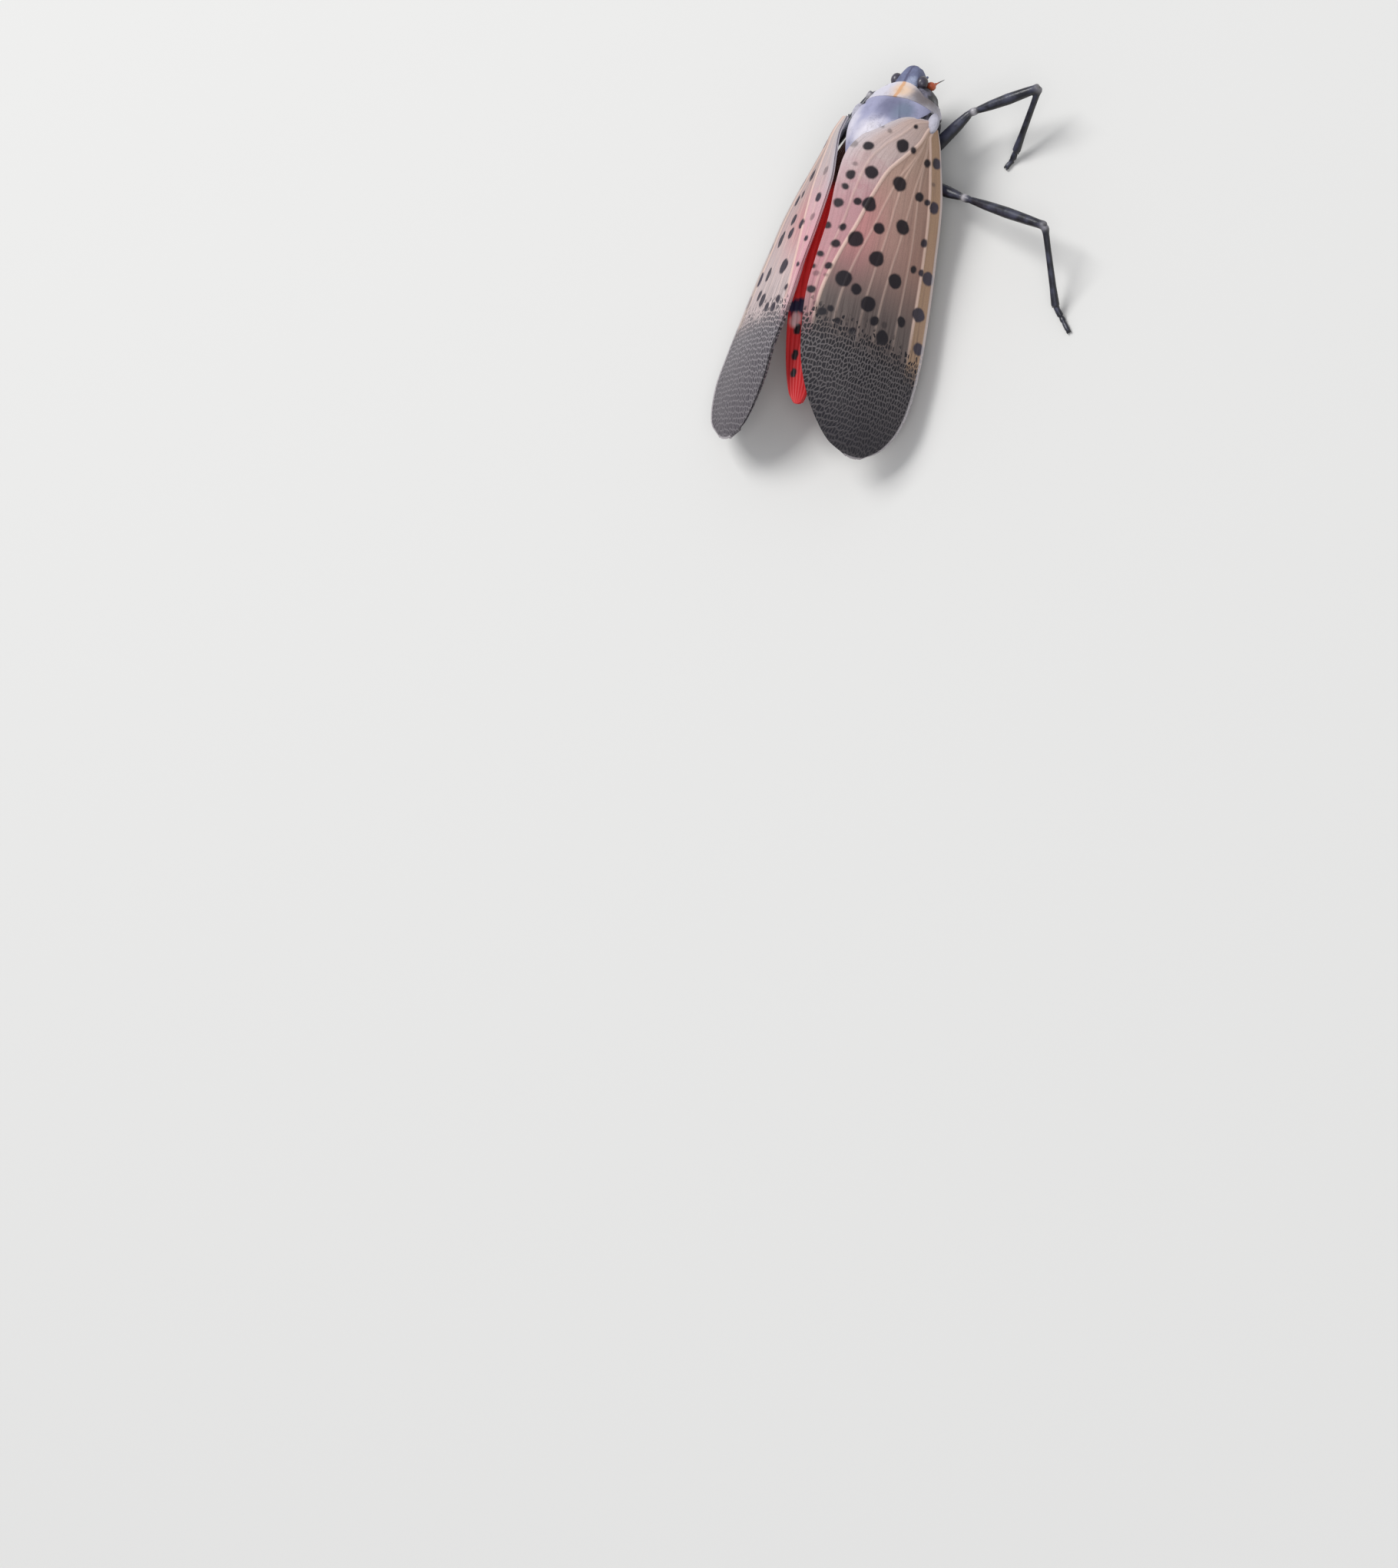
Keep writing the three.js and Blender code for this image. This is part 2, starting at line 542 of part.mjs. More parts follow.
for (const [name, joints] of Object.entries(LEGS)) {
  const [root, hip, knee, ankle, sole, toe] = joints;
  const bones = {
    coxa: (grow) => limb([root, hip], COXA_RADII, grow),
    femur: (grow) => limb([hip, knee], FEMUR_RADII, grow),
    tibia: (grow) => limb([knee, ankle], TIBIA_RADII, grow),
    tarsus: (grow) => limb([ankle, sole, toe], TARSUS_RADII, grow),
  };
  let before = cleared;
  for (const [bone, form] of Object.entries(bones)) {
    let solid = form(0);
    if (bone === 'tibia' && name.startsWith('hind')) {
      tibiaSpines(knee, ankle, Math.sign(knee[0])).forEach((spine) => { solid = solid.add(spine); });
    }
    solid = solid.subtract(before).intersect(floor);
    insect.add(part(`${name}_${bone}`, solid, FINISH.limb));
    before = form(GAP);
  }
}

// The origin goes under the middle of the whole insect, on the floor.
const bounds = new THREE.Box3().setFromObject(insect);
const centre = bounds.getCenter(new THREE.Vector3());
insect.position.set(-centre.x, -centre.y, -bounds.min.z);

export default insect;
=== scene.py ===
"""An adult spotted lanternfly at rest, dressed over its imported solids.

Every form is modelled in millimetres in the insect's own frame: x = 0 on the midline, y = 0 at the
middle of the pronotum's hind margin, +Y to the head, +X to its right, and z = 0 on the floor. The
last step on each piece, settle(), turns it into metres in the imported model's frame.
"""

import logging
import math
from collections.abc import Callable, Iterator, Sequence
from contextlib import contextmanager
from dataclasses import dataclass
from enum import Enum
from functools import cache, cached_property

import bmesh
import bpy
import numpy as np
from mathutils import Euler, Matrix, Vector


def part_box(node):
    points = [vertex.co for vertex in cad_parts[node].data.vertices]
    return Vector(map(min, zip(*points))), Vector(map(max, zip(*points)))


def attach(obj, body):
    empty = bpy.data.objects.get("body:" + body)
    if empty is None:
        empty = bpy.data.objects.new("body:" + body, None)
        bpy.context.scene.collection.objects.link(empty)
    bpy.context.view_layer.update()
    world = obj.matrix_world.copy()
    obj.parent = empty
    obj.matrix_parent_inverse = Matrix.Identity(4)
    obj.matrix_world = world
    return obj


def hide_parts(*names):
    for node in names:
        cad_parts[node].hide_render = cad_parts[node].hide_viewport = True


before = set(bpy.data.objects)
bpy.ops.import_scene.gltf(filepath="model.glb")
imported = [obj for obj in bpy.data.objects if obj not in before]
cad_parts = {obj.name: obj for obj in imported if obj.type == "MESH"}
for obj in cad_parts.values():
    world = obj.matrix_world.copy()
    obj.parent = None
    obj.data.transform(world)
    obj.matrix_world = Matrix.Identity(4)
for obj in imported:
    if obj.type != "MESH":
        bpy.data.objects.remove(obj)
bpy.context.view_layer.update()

log = logging.getLogger("lanternfly")

MM = 0.001
WELD = 1e-4
EYE_LINE = Vector((0.0, 1.58, 4.5))
RING_LENGTH = 1.48
FIRST_RING = -15.5

Piece = bpy.types.Object
Tree = bpy.types.NodeTree
Node = bpy.types.Node
Socket = bpy.types.NodeSocket
Value = Socket | float
Rows = Sequence[tuple[float, ...]]
Span = tuple[float, float]
Flat = tuple[float, float]
Place = tuple[float, float, float]
Colour = tuple[float, float, float, float]
Inputs = dict[int | str, Value | Sequence[float]]
Section = tuple[np.ndarray, np.ndarray, np.ndarray]


class Side(Enum):
    """A side of the insect, with the sign of x on it."""

    RIGHT = 1
    LEFT = -1

    @property
    def word(self) -> str:
        """The side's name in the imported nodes."""
        return self.name.lower()


class Slot(Enum):
    """The material slots."""

    WING = "wing"
    HINDWING = "hindwing"
    SHIELD = "shield"
    COLLAR = "collar"
    HEAD = "head"
    EYE = "eye"
    ANTENNA = "antenna"
    BELLY = "belly"
    LIMB = "limb"


class Pair(Enum):
    """The three pairs of legs."""

    FORE = "fore"
    MID = "mid"
    HIND = "hind"


class Kind(Enum):
    """The kinds of socket on a node group."""

    VALUE = "NodeSocketFloat"
    VECTOR = "NodeSocketVector"
    COLOUR = "NodeSocketColor"


def insect_shift() -> Vector:
    """Finds where the insect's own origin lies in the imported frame, in metres, from its two eyes."""
    corners = [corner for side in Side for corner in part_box(f"eye_{side.word}")]
    return sum(corners, Vector()) / len(corners) - EYE_LINE * MM


SHIFT = insect_shift()


# Workbench


def select(pieces: Sequence[Piece]) -> None:
    """Selects some pieces alone and makes the first one active.

    Args:
        pieces: The pieces.
    """
    bpy.ops.object.select_all(action="DESELECT")
    for piece in pieces:
        piece.select_set(True)
    bpy.context.view_layer.objects.active = pieces[0]


@contextmanager
def editing(piece: Piece) -> Iterator[None]:
    """Holds a piece in edit mode, with all of it selected at the start.

    Args:
        piece: The mesh to edit.

    Yields:
        Nothing.
    """
    select([piece])
    bpy.ops.object.mode_set(mode="EDIT")
    bpy.ops.mesh.select_all(action="SELECT")
    yield
    bpy.ops.object.mode_set(mode="OBJECT")


def added(name: str, operator: Callable[..., object], **sizes: float | str | bool) -> Piece:
    """Adds one of Blender's primitives, with nothing else selected.

    Args:
        name: The piece's name.
        operator: The operator that adds the primitive.
        **sizes: The primitive's own sizes.

    Returns:
        The new piece.
    """
    bpy.ops.object.select_all(action="DESELECT")
    operator(**sizes)
    piece = bpy.context.object
    piece.name = piece.data.name = name
    return piece


def move_points(piece: Piece, where: Callable[[Vector], Vector]) -> None:
    """Moves every point of a piece.

    Args:
        piece: The mesh to shape.
        where: Gives a point's new place from its old one.
    """
    for vertex in piece.data.vertices:
        vertex.co = where(vertex.co.copy())
    piece.data.update()


def finish_form(piece: Piece, kind: str, **settings: float | str | bool) -> None:
    """Adds a modifier to a piece and applies it.

    Args:
        piece: The mesh to finish.
        kind: The modifier's type.
        **settings: The modifier's own values.
    """
    select([piece])
    modifier = piece.modifiers.new(kind.title(), kind)
    for name, value in settings.items():
        setattr(modifier, name, value)
    bpy.ops.object.modifier_apply(modifier=modifier.name)


def joined(name: str, pieces: Sequence[Piece]) -> Piece:
    """Joins several meshes into one object.

    Args:
        name: The object's name.
        pieces: The meshes, of which the first becomes the object.

    Returns:
        The object.
    """
    select(pieces)
    bpy.ops.object.join()
    pieces[0].name = pieces[0].data.name = name
    return pieces[0]


def mark(piece: Piece, name: str, values: Sequence[float]) -> None:
    """Gives each point of a piece a value under a name, for its finish to read."""
    attribute = piece.data.attributes.new(name, "FLOAT", "POINT")
    attribute.data.foreach_set("value", np.array(values, np.float32))


# Curves and sections


class Profile:
    """A smooth curve through rows of a place and the values there."""

    def __init__(self, rows: Rows) -> None:
        """Reads the rows.

        Args:
            rows: The place and the values of each row, with the places rising.
        """
        table = np.array(rows, float)
        self.places, self.values = table[:, 0], table[:, 1:]
        self.slopes = np.gradient(self.values, self.places, axis=0)

    def __call__(self, place: float) -> np.ndarray:
        """Finds the values at a place.

        Args:
            place: The place, which past an end counts as that end.

        Returns:
            The values there.
        """
        place = float(np.clip(place, self.places[0], self.places[-1]))
        i = int(np.clip(np.searchsorted(self.places, place) - 1, 0, len(self.places) - 2))
        length = self.places[i + 1] - self.places[i]
        w = (place - self.places[i]) / length
        return (
            self.values[i] * (2 * w**3 - 3 * w**2 + 1)
            + self.values[i + 1] * (3 * w**2 - 2 * w**3)
            + self.slopes[i] * length * (w**3 - 2 * w**2 + w)
            + self.slopes[i + 1] * length * (w**3 - w**2)
        )


class Rail:
    """A centripetal Catmull-Rom curve through points."""

    def __init__(self, points: Sequence[Sequence[float]]) -> None:
        """Reads the points and adds one past each end."""
        inner = [np.array(point, float) for point in points]
        self.points = [2 * inner[0] - inner[1], *inner, 2 * inner[-1] - inner[-2]]

    def __call__(self, t: float) -> np.ndarray:
        """Finds a point on the curve.

        Args:
            t: The share of the way, from 0 to 1.

        Returns:
            The point.
        """
        spans = len(self.points) - 3
        i = min(int(spans * t), spans - 1)
        w = spans * t - i
        p0, p1, p2, p3 = self.points[i : i + 4]
        d0, d1, d2 = (math.sqrt(np.linalg.norm(b - a)) for a, b in ((p0, p1), (p1, p2), (p2, p3)))
        m1 = ((p1 - p0) / d0 - (p2 - p0) / (d0 + d1) + (p2 - p1) / d1) * d1
        m2 = ((p2 - p1) / d1 - (p3 - p1) / (d1 + d2) + (p3 - p2) / d2) * d1
        return (2 * p1 - 2 * p2 + m1 + m2) * w**3 + (3 * p2 - 3 * p1 - 2 * m1 - m2) * w**2 + m1 * w + p1


def smooth(value: float, low: float, high: float) -> float:
    """Eases from 0 at low to 1 at high."""
    share = min(1.0, max(0.0, (value - low) / (high - low)))
    return share * share * (3 - 2 * share)


def ridge(distance: float, width: float) -> float:
    """Gives a soft crest's height, 1 on its line and near 0 two widths away."""
    return math.exp(-((distance / width) ** 2))


def rounded(value: float, fullness: float) -> float:
    """Squares off a sine or cosine for a superellipse."""
    return math.copysign(abs(value) ** (2 / fullness), value)


def turns(count: int) -> list[float]:
    """Lists the angles of a full turn in even steps."""
    return [2 * math.pi * k / count for k in range(count)]


# Limbs and other forms


@dataclass(frozen=True)
class Ring:
    """One ring of a limb: its middle and its radius."""

    at: Vector
    radius: float


def bone(start: Vector, end: Vector, shape: Rows) -> list[Ring]:
    """Lays the rings of one straight bone, from rows of the share of its length and the radius there."""
    return [Ring(start.lerp(end, share), radius) for share, radius in shape]


def lofted(name: str, sections: Sequence[Sequence[Vector]]) -> Piece:
    """Models a closed form by extruding an end face through each of its cross-sections in turn.

    Args:
        name: The piece's name.
        sections: The points of each cross-section, in the same order around.

    Returns:
        A closed mesh.
    """
    piece = added(name, bpy.ops.mesh.primitive_circle_add, vertices=len(sections[0]), fill_type="NGON")
    with editing(piece):
        for i, section in enumerate(sections):
            if i:
                bpy.ops.mesh.extrude_region_move()
            mesh = bmesh.from_edit_mesh(piece.data)
            ends = [vertex for vertex in mesh.verts if vertex.select]
            for vertex, place in zip(ends, section, strict=True):
                vertex.co = place
            bmesh.update_edit_mesh(piece.data)
    return piece


def limb(name: str, rings: Sequence[Ring], sides: int) -> Piece:
    """Models a limb through its rings, without a twist between them.

    Args:
        name: The piece's name.
        rings: The rings, from root to tip.
        sides: How many sides each ring has.

    Returns:
        A closed mesh.
    """
    last = len(rings) - 1
    ways = [(rings[min(last, i + 1)].at - rings[max(0, i - 1)].at).normalized() for i in range(last + 1)]
    circle = [Vector((math.cos(angle), math.sin(angle), 0.0)) for angle in turns(sides)]
    turn = Vector((0, 0, 1)).rotation_difference(ways[0])
    sections = []
    for i, ring in enumerate(rings):
        if i:
            turn = ways[i - 1].rotation_difference(ways[i]) @ turn
        sections.append([ring.at + turn @ (spoke * ring.radius) for spoke in circle])
    return lofted(name, sections)


def ball(name: str, at: Sequence[float], radii: Sequence[float], segments: int, rings: int) -> Piece:
    """Models an egg-shaped ball.

    Args:
        name: The piece's name.
        at: Its middle.
        radii: Its half sizes.
        segments: How many faces go around it.
        rings: How many rows of faces it has.

    Returns:
        A closed mesh.
    """
    piece = added(name, bpy.ops.mesh.primitive_uv_sphere_add, segments=segments, ring_count=rings)
    with editing(piece):
        bpy.ops.transform.resize(value=tuple(radii))
        bpy.ops.transform.translate(value=tuple(at))
    return piece


def sheet_grid(name: str, columns: int, rows: int) -> Piece:
    """Adds a flat grid of columns by rows of points, a unit across both ways."""
    sizes = {"x_subdivisions": columns - 1, "y_subdivisions": rows - 1, "size": 1.0}
    return added(name, bpy.ops.mesh.primitive_grid_add, calc_uvs=True, **sizes)


# Finishes


def paint(red: int, green: int, blue: int) -> Colour:
    """Turns a display colour of 0 to 255 into a scene colour."""
    linear = [((c / 255 + 0.055) / 1.055) ** 2.4 if c > 10 else c / 255 / 12.92 for c in (red, green, blue)]
    return (*linear, 1.0)


class Graph:
    """A node tree with short ways to add its nodes, most of which give the new node's output."""

    def __init__(self, tree: Tree) -> None:
        """Takes the tree to add to."""
        self.tree = tree

    def set(self, socket: Socket, value: Value | Sequence[float]) -> None:
        """Links a socket to another, or gives it a constant.

        Args:
            socket: The input to feed.
            value: The output or the constant that feeds it.
        """
        if isinstance(value, Socket):
            self.tree.links.new(value, socket)
        else:
            socket.default_value = value

    def fed(self, node: Node, inputs: Inputs) -> Node:
        """Feeds a node's inputs.

        Args:
            node: The node.
            inputs: Values or sockets for its inputs, by name or index.

        Returns:
            The same node.
        """
        for name, value in inputs.items():
            self.set(node.inputs[name], value)
        return node

    def add(self, kind: str, inputs: Inputs, **settings: str) -> Node:
        """Adds a node.

        Args:
            kind: The node's type, without its ShaderNode prefix.
            inputs: Values or sockets for its inputs, by name or index.
            **settings: The node's own options.

        Returns:
            The node.
        """
        node = self.tree.nodes.new(f"ShaderNode{kind}")
        for name, value in settings.items():
            setattr(node, name, value)
        return self.fed(node, inputs)

    def group(self, maker: Callable[[], Tree], inputs: Inputs) -> Node:
        """Adds a node group.

        Args:
            maker: Makes the group, or finds it.
            inputs: Values or sockets for its inputs, by name.

        Returns:
            The group's node.
        """
        node = self.tree.nodes.new("ShaderNodeGroup")
        node.node_tree = maker()
        return self.fed(node, inputs)

    def math(self, operation: str, *values: Value) -> Socket:
        """Adds a math node."""
        return self.add("Math", dict(enumerate(values)), operation=operation).outputs[0]

    def plus(self, first: Value, second: Value) -> Socket:
        """Adds a sum."""
        return self.math("ADD", first, second)

    def minus(self, first: Value, second: Value) -> Socket:
        """Adds a difference."""
        return self.math("SUBTRACT", first, second)

    def times(self, first: Value, second: Value) -> Socket:
        """Adds a product."""
        return self.math("MULTIPLY", first, second)

    def larger(self, first: Value, second: Value) -> Socket:
        """Adds the larger of two values."""
        return self.math("MAXIMUM", first, second)

    def centred(self, value: Socket, reach: float) -> Socket:
        """Turns a value of 0 to 1 into one that swings about 0, over a reach."""
        return self.times(self.minus(value, 0.5), reach)

    def vector(self, operation: str, *values: Socket | Sequence[float], out: int = 0) -> Socket:
        """Adds a vector math node."""
        return self.add("VectorMath", dict(enumerate(values)), operation=operation).outputs[out]

    def scaled(self, value: Socket, factor: float) -> Socket:
        """Adds a scaling of a vector."""
        return self.add("VectorMath", {0: value, "Scale": factor}, operation="SCALE").outputs[0]

    def parts(self, value: Socket) -> tuple[Socket, Socket, Socket]:
        """Splits a vector."""
        return tuple(self.add("SeparateXYZ", {0: value}).outputs)

    def plan(self, x: Value, y: Value) -> Socket:
        """Joins two values into a flat place."""
        return self.add("CombineXYZ", {0: x, 1: y}).outputs[0]

    def fade(self, value: Socket, low: Value, high: Value, start: float = 0.0, end: float = 1.0) -> Socket:
        """Adds a smooth step from one value to another."""
        inputs = {0: value, 1: low, 2: high, 3: start, 4: end}
        return self.add("MapRange", inputs, interpolation_type="SMOOTHSTEP").outputs[0]

    def blend(self, factor: Value, first: Socket | Colour, second: Socket | Colour) -> Socket:
        """Adds a mix of two colours."""
        return self.add("Mix", {0: factor, 6: first, 7: second}, data_type="RGBA").outputs[2]

    def ramp(self, value: Socket, stops: Sequence[tuple[float, Colour]]) -> Socket:
        """Adds a colour ramp.

        Args:
            value: What runs along it.
            stops: The place and the colour of each stop.

        Returns:
            The colour.
        """
        node = self.add("ValToRGB", {0: value})
        elements = node.color_ramp.elements
        while len(elements) < len(stops):
            elements.new(0.5)
        for element, (place, colour) in zip(elements, stops, strict=True):
            element.position = place
            element.color = colour
        return node.outputs[0]

    def noise(
        self, place: Socket, scale: float, detail: float = 3.0, roughness: float = 0.5, out: int = 0
    ) -> Socket:
        """Adds a noise from 0 to 1, or its three values at once if out is 1."""
        inputs = {"Vector": place, "Scale": scale, "Detail": detail, "Roughness": roughness}
        return self.add("TexNoise", inputs).outputs[out]

    def jolted(self, value: Socket, place: Socket, scale: float, detail: float, reach: float) -> Socket:
        """Adds a shift of a place to and fro, so that edges laid on it run unevenly.

        Args:
            value: The place to shift.
            place: What the noise of the shift is read at.
            scale: The noise's scale.
            detail: The noise's detail.
            reach: How far the shift swings in all.

        Returns:
            The shifted place.
        """
        swing = self.vector("SUBTRACT", self.noise(place, scale, detail, out=1), (0.5, 0.5, 0.5))
        return self.vector("ADD", value, self.scaled(swing, reach))

    def spot_edge(self, place: Socket, spots: Rows) -> Socket:
        """Measures how far outside the nearest of some round spots a flat place lies.

        Args:
            place: The place.
            spots: The x, the y and the radius of each spot.

        Returns:
            The distance, which is below 0 inside a spot.
        """
        edges = []
        for x, y, radius in spots:
            edges.append(self.minus(self.vector("DISTANCE", place, (x, y, 0.0), out=1), radius))
        nearest = edges[0]
        for edge in edges[1:]:
            nearest = self.math("MINIMUM", nearest, edge)
        return nearest

    def insect_place(self) -> Socket:
        """Adds the place in the insect's own millimetres."""
        coordinates = self.add("TexCoord", {}).outputs["Object"]
        return self.scaled(self.vector("SUBTRACT", coordinates, tuple(SHIFT)), 1 / MM)

    def attribute(self, name: str) -> Socket:
        """Adds a piece's own named value."""
        return self.add("Attribute", {}, attribute_name=name).outputs["Fac"]

    def shares(self) -> Socket:
        """Adds a wing's shares of its width and length, from the piece's own map."""
        return self.add("UVMap", {}).outputs[0]


class GroupGraph(Graph):
    """The graph of a node group, with its inputs and outputs."""

    def __init__(self, name: str, inputs: dict[str, object], outputs: dict[str, Kind]) -> None:
        """Makes the group and its sockets.

        Args:
            name: The group's name.
            inputs: Each input's name and its starting value, as a number, a vector or a colour.
            outputs: Each output's name and kind.
        """
        super().__init__(bpy.data.node_groups.new(name, "ShaderNodeTree"))
        for label, value in inputs.items():
            size = 1 if isinstance(value, float) else len(value)
            kind = {1: Kind.VALUE, 3: Kind.VECTOR, 4: Kind.COLOUR}[size]
            socket = self.tree.interface.new_socket(label, in_out="INPUT", socket_type=kind.value)
            socket.default_value = value
        for label, kind in outputs.items():
            self.tree.interface.new_socket(label, in_out="OUTPUT", socket_type=kind.value)
        self.entry = self.tree.nodes.new("NodeGroupInput")
        self.exit = self.tree.nodes.new("NodeGroupOutput")

    def given(self, label: str) -> Socket:
        """Gives one of the group's inputs."""
        return self.entry.outputs[label]

    def closed(self, **outputs: Socket) -> Tree:
        """Feeds the group's outputs and gives its tree."""
        self.fed(self.exit, outputs)
        return self.tree


@cache
def powder_group() -> Tree:
    """Makes the waxy powder that lies unevenly over the skin.

    Returns:
        The group's tree.
    """
    inputs = {"Skin": paint(60, 55, 70), "Powder": paint(200, 200, 220), "Amount": 0.6}
    outputs = {"Color": Kind.COLOUR, "Roughness": Kind.VALUE, "Height": Kind.VALUE}
    graph = GroupGraph("powder", inputs, outputs)
    place = graph.insect_place()
    coarse = graph.noise(place, 1.6, 5.0, 0.6)
    fine = graph.noise(place, 14.0, 3.0, 0.65)
    cover = graph.plus(graph.times(coarse, 0.9), graph.times(fine, 0.5))
    mask = graph.fade(graph.plus(cover, graph.minus(graph.given("Amount"), 1.2)), -0.25, 0.35)
    return graph.closed(
        Color=graph.blend(mask, graph.given("Skin"), graph.given("Powder")),
        Roughness=graph.fade(mask, 0.0, 1.0, 0.32, 0.75),
        Height=graph.plus(mask, fine),
    )


@cache
def patch_group() -> Tree:
    """Makes the mask of a soft, uneven patch round a place.

    Returns:
        The group's tree.
    """
    graph = GroupGraph("patch", {"At": (0.0, 0.0, 0.0), "Size": (1.0, 1.0, 1.0)}, {"Mask": Kind.VALUE})
    place = graph.insect_place()
    offset = graph.vector("SUBTRACT", graph.jolted(place, place, 1.8, 3.0, 0.6), graph.given("At"))
    away = graph.vector("LENGTH", graph.vector("DIVIDE", offset, graph.given("Size")), out=1)
    return graph.closed(Mask=graph.fade(away, 0.25, 1.2, 1.0, 0.0))


@cache
def midline_group() -> Tree:
    """Makes the mask of a wavering line along the insect's middle.

    Returns:
        The group's tree.
    """
    graph = GroupGraph("midline", {"Width": 0.1}, {"Mask": Kind.VALUE})
    place = graph.insect_place()
    x, _y, _z = graph.parts(place)
    off = graph.math("ABSOLUTE", graph.plus(x, graph.centred(graph.noise(place, 3.0), 0.15)))
    width = graph.given("Width")
    return graph.closed(Mask=graph.fade(off, graph.times(width, 0.4), width, 0.85, 0.0))


@cache
def grain_group() -> Tree:
    """Makes the fine leathery grain of wings and skin.

    Returns:
        The group's tree.
    """
    graph = GroupGraph("grain", {"Scale": 18.0}, {"Height": Kind.VALUE, "Mottle": Kind.VALUE})
    place = graph.insect_place()
    cells = graph.add("TexVoronoi", {"Vector": place, "Scale": graph.given("Scale")}, feature="SMOOTH_F1")
    return graph.closed(Height=cells.outputs["Distance"], Mottle=graph.noise(place, 2.2, 5.0, 0.6))


@cache
def thread_group() -> Tree:
    """Makes the fine threads that run along a wing.

    Returns:
        The group's tree.
    """
    graph = GroupGraph("threads", {}, {"Thread": Kind.VALUE})
    width, length, _none = graph.parts(graph.shares())
    lanes = graph.plan(graph.times(width, 60.0), graph.times(length, 6.0))
    return graph.closed(Thread=graph.noise(lanes, 1.0, 1.0))


@cache
def net_group() -> Tree:
    """Makes the net of veins over the outer part of a wing, with cells a unit wide in its inputs.

    Returns:
        The group's tree.
    """
    graph = GroupGraph("vein_net", {"Across": 0.0, "Along": 0.0}, {"Vein": Kind.VALUE, "Cell": Kind.VALUE})
    wave = graph.noise(graph.insect_place(), 0.8, 2.0)
    place = graph.plan(graph.plus(graph.given("Across"), graph.times(wave, 3.0)), graph.given("Along"))
    lattice = {"Vector": place, "Scale": 1.0, "Randomness": 0.7}
    edges = graph.add("TexVoronoi", lattice, feature="DISTANCE_TO_EDGE", voronoi_dimensions="2D")
    cells = graph.add("TexVoronoi", lattice, voronoi_dimensions="2D")
    return graph.closed(
        Vein=graph.fade(edges.outputs["Distance"], 0.05, 0.25, 1.0, 0.0),
        Cell=graph.parts(cells.outputs["Color"])[0],
    )


@dataclass(frozen=True)
class Look:
    """What a finish feeds its shader: colour, roughness, the bump's height and the colour of a painted
    glow, an emission that stands in for light.
    """

    colour: Socket
    roughness: Value
    height: Socket
    glow: Socket | None = None


@dataclass(frozen=True)
class Finish:
    """A surface's finish."""

    name: str
    specular: float = 0.5
    coat: float = 0.0
    coat_roughness: float = 0.12
    relief: float = 0.01
    glow: float = 0.0

    def look(self, graph: Graph) -> Look:
        """Works out what the shader is fed, in the material's graph."""
        raise NotImplementedError

    def material(self) -> bpy.types.Material:
        """Makes the material, or finds it if it is made already.

        Returns:
            The material.
        """
        found = bpy.data.materials.get(self.name)
        if found:
            return found
        made = bpy.data.materials.new(self.name)
        made.use_nodes = True
        graph = Graph(made.node_tree)
        look = self.look(graph)
        bump = graph.add("Bump", {"Strength": 1.0, "Distance": self.relief * MM, "Height": look.height})
        inputs = {
            "Base Color": look.colour,
            "Roughness": look.roughness,
            "Normal": bump.outputs[0],
            "Specular IOR Level": self.specular,
            "Coat Weight": self.coat,
            "Coat Roughness": self.coat_roughness,
        }
        if look.glow:
            inputs |= {"Emission Color": look.glow, "Emission Strength": self.glow}
        graph.fed(made.node_tree.nodes["Principled BSDF"], inputs)
        return made


@dataclass(frozen=True)
class Patch:
    """A soft-edged patch of another colour, for powder and for painted shade and highlight: its colour, its
    middle and its half sizes.
    """

    colour: Colour
    at: Place
    size: Place


@dataclass(frozen=True)
class Powdered(Finish):
    """Skin under a waxy powder, which has patches of other colours, some of them painted shade and
    highlight, and may have a line along the middle.
    """

    skin: Colour = paint(60, 55, 70)
    powder: Colour = paint(200, 200, 220)
    amount: float = 0.8
    patches: tuple[Patch, ...] = ()
    line: Colour | None = None
    line_width: float = 0.1

    def look(self, graph: Graph) -> Look:
        """Lays the powder, its patches and the line along the middle.

        Args:
            graph: The material's graph.

        Returns:
            The look.
        """
        powder = self.powder
        for patch in self.patches:
            mask = graph.group(patch_group, {"At": patch.at, "Size": patch.size})
            powder = graph.blend(mask.outputs[0], powder, patch.colour)
        skin = graph.group(powder_group, {"Skin": self.skin, "Powder": powder, "Amount": self.amount})
        colour = skin.outputs["Color"]
        if self.line:
            mask = graph.group(midline_group, {"Width": self.line_width})
            colour = graph.blend(mask.outputs[0], colour, self.line)
        return Look(colour, skin.outputs["Roughness"], skin.outputs["Height"])


HEAD_POWDER = Powdered(
    "head_powder",
    skin=paint(52, 50, 78),
    powder=paint(114, 120, 150),
    amount=0.72,
    patches=(
        # painted highlight: a paler patch at the rear of the crown, right of the midline
        Patch(paint(160, 168, 194), (0.5, 1.35, 5.0), (0.45, 0.55, 0.6)),
        Patch(paint(74, 72, 88), (0.0, 1.6, 1.9), (1.8, 1.8, 1.3)),
    ),
    line=paint(80, 80, 108),
    line_width=0.1,
)
COLLAR_POWDER = Powdered(
    "collar_powder",
    skin=paint(150, 120, 95),
    powder=paint(208, 205, 216),
    amount=0.85,
    patches=(
        # painted shade: the right slope of the collar is greyed
        Patch(paint(118, 110, 112), (1.5, 0.45, 4.9), (1.35, 1.3, 1.7)),
        Patch(paint(222, 194, 170), (0.15, 0.7, 5.3), (0.85, 0.95, 1.2)),
    ),
    line=paint(212, 160, 116),
    line_width=0.17,
)
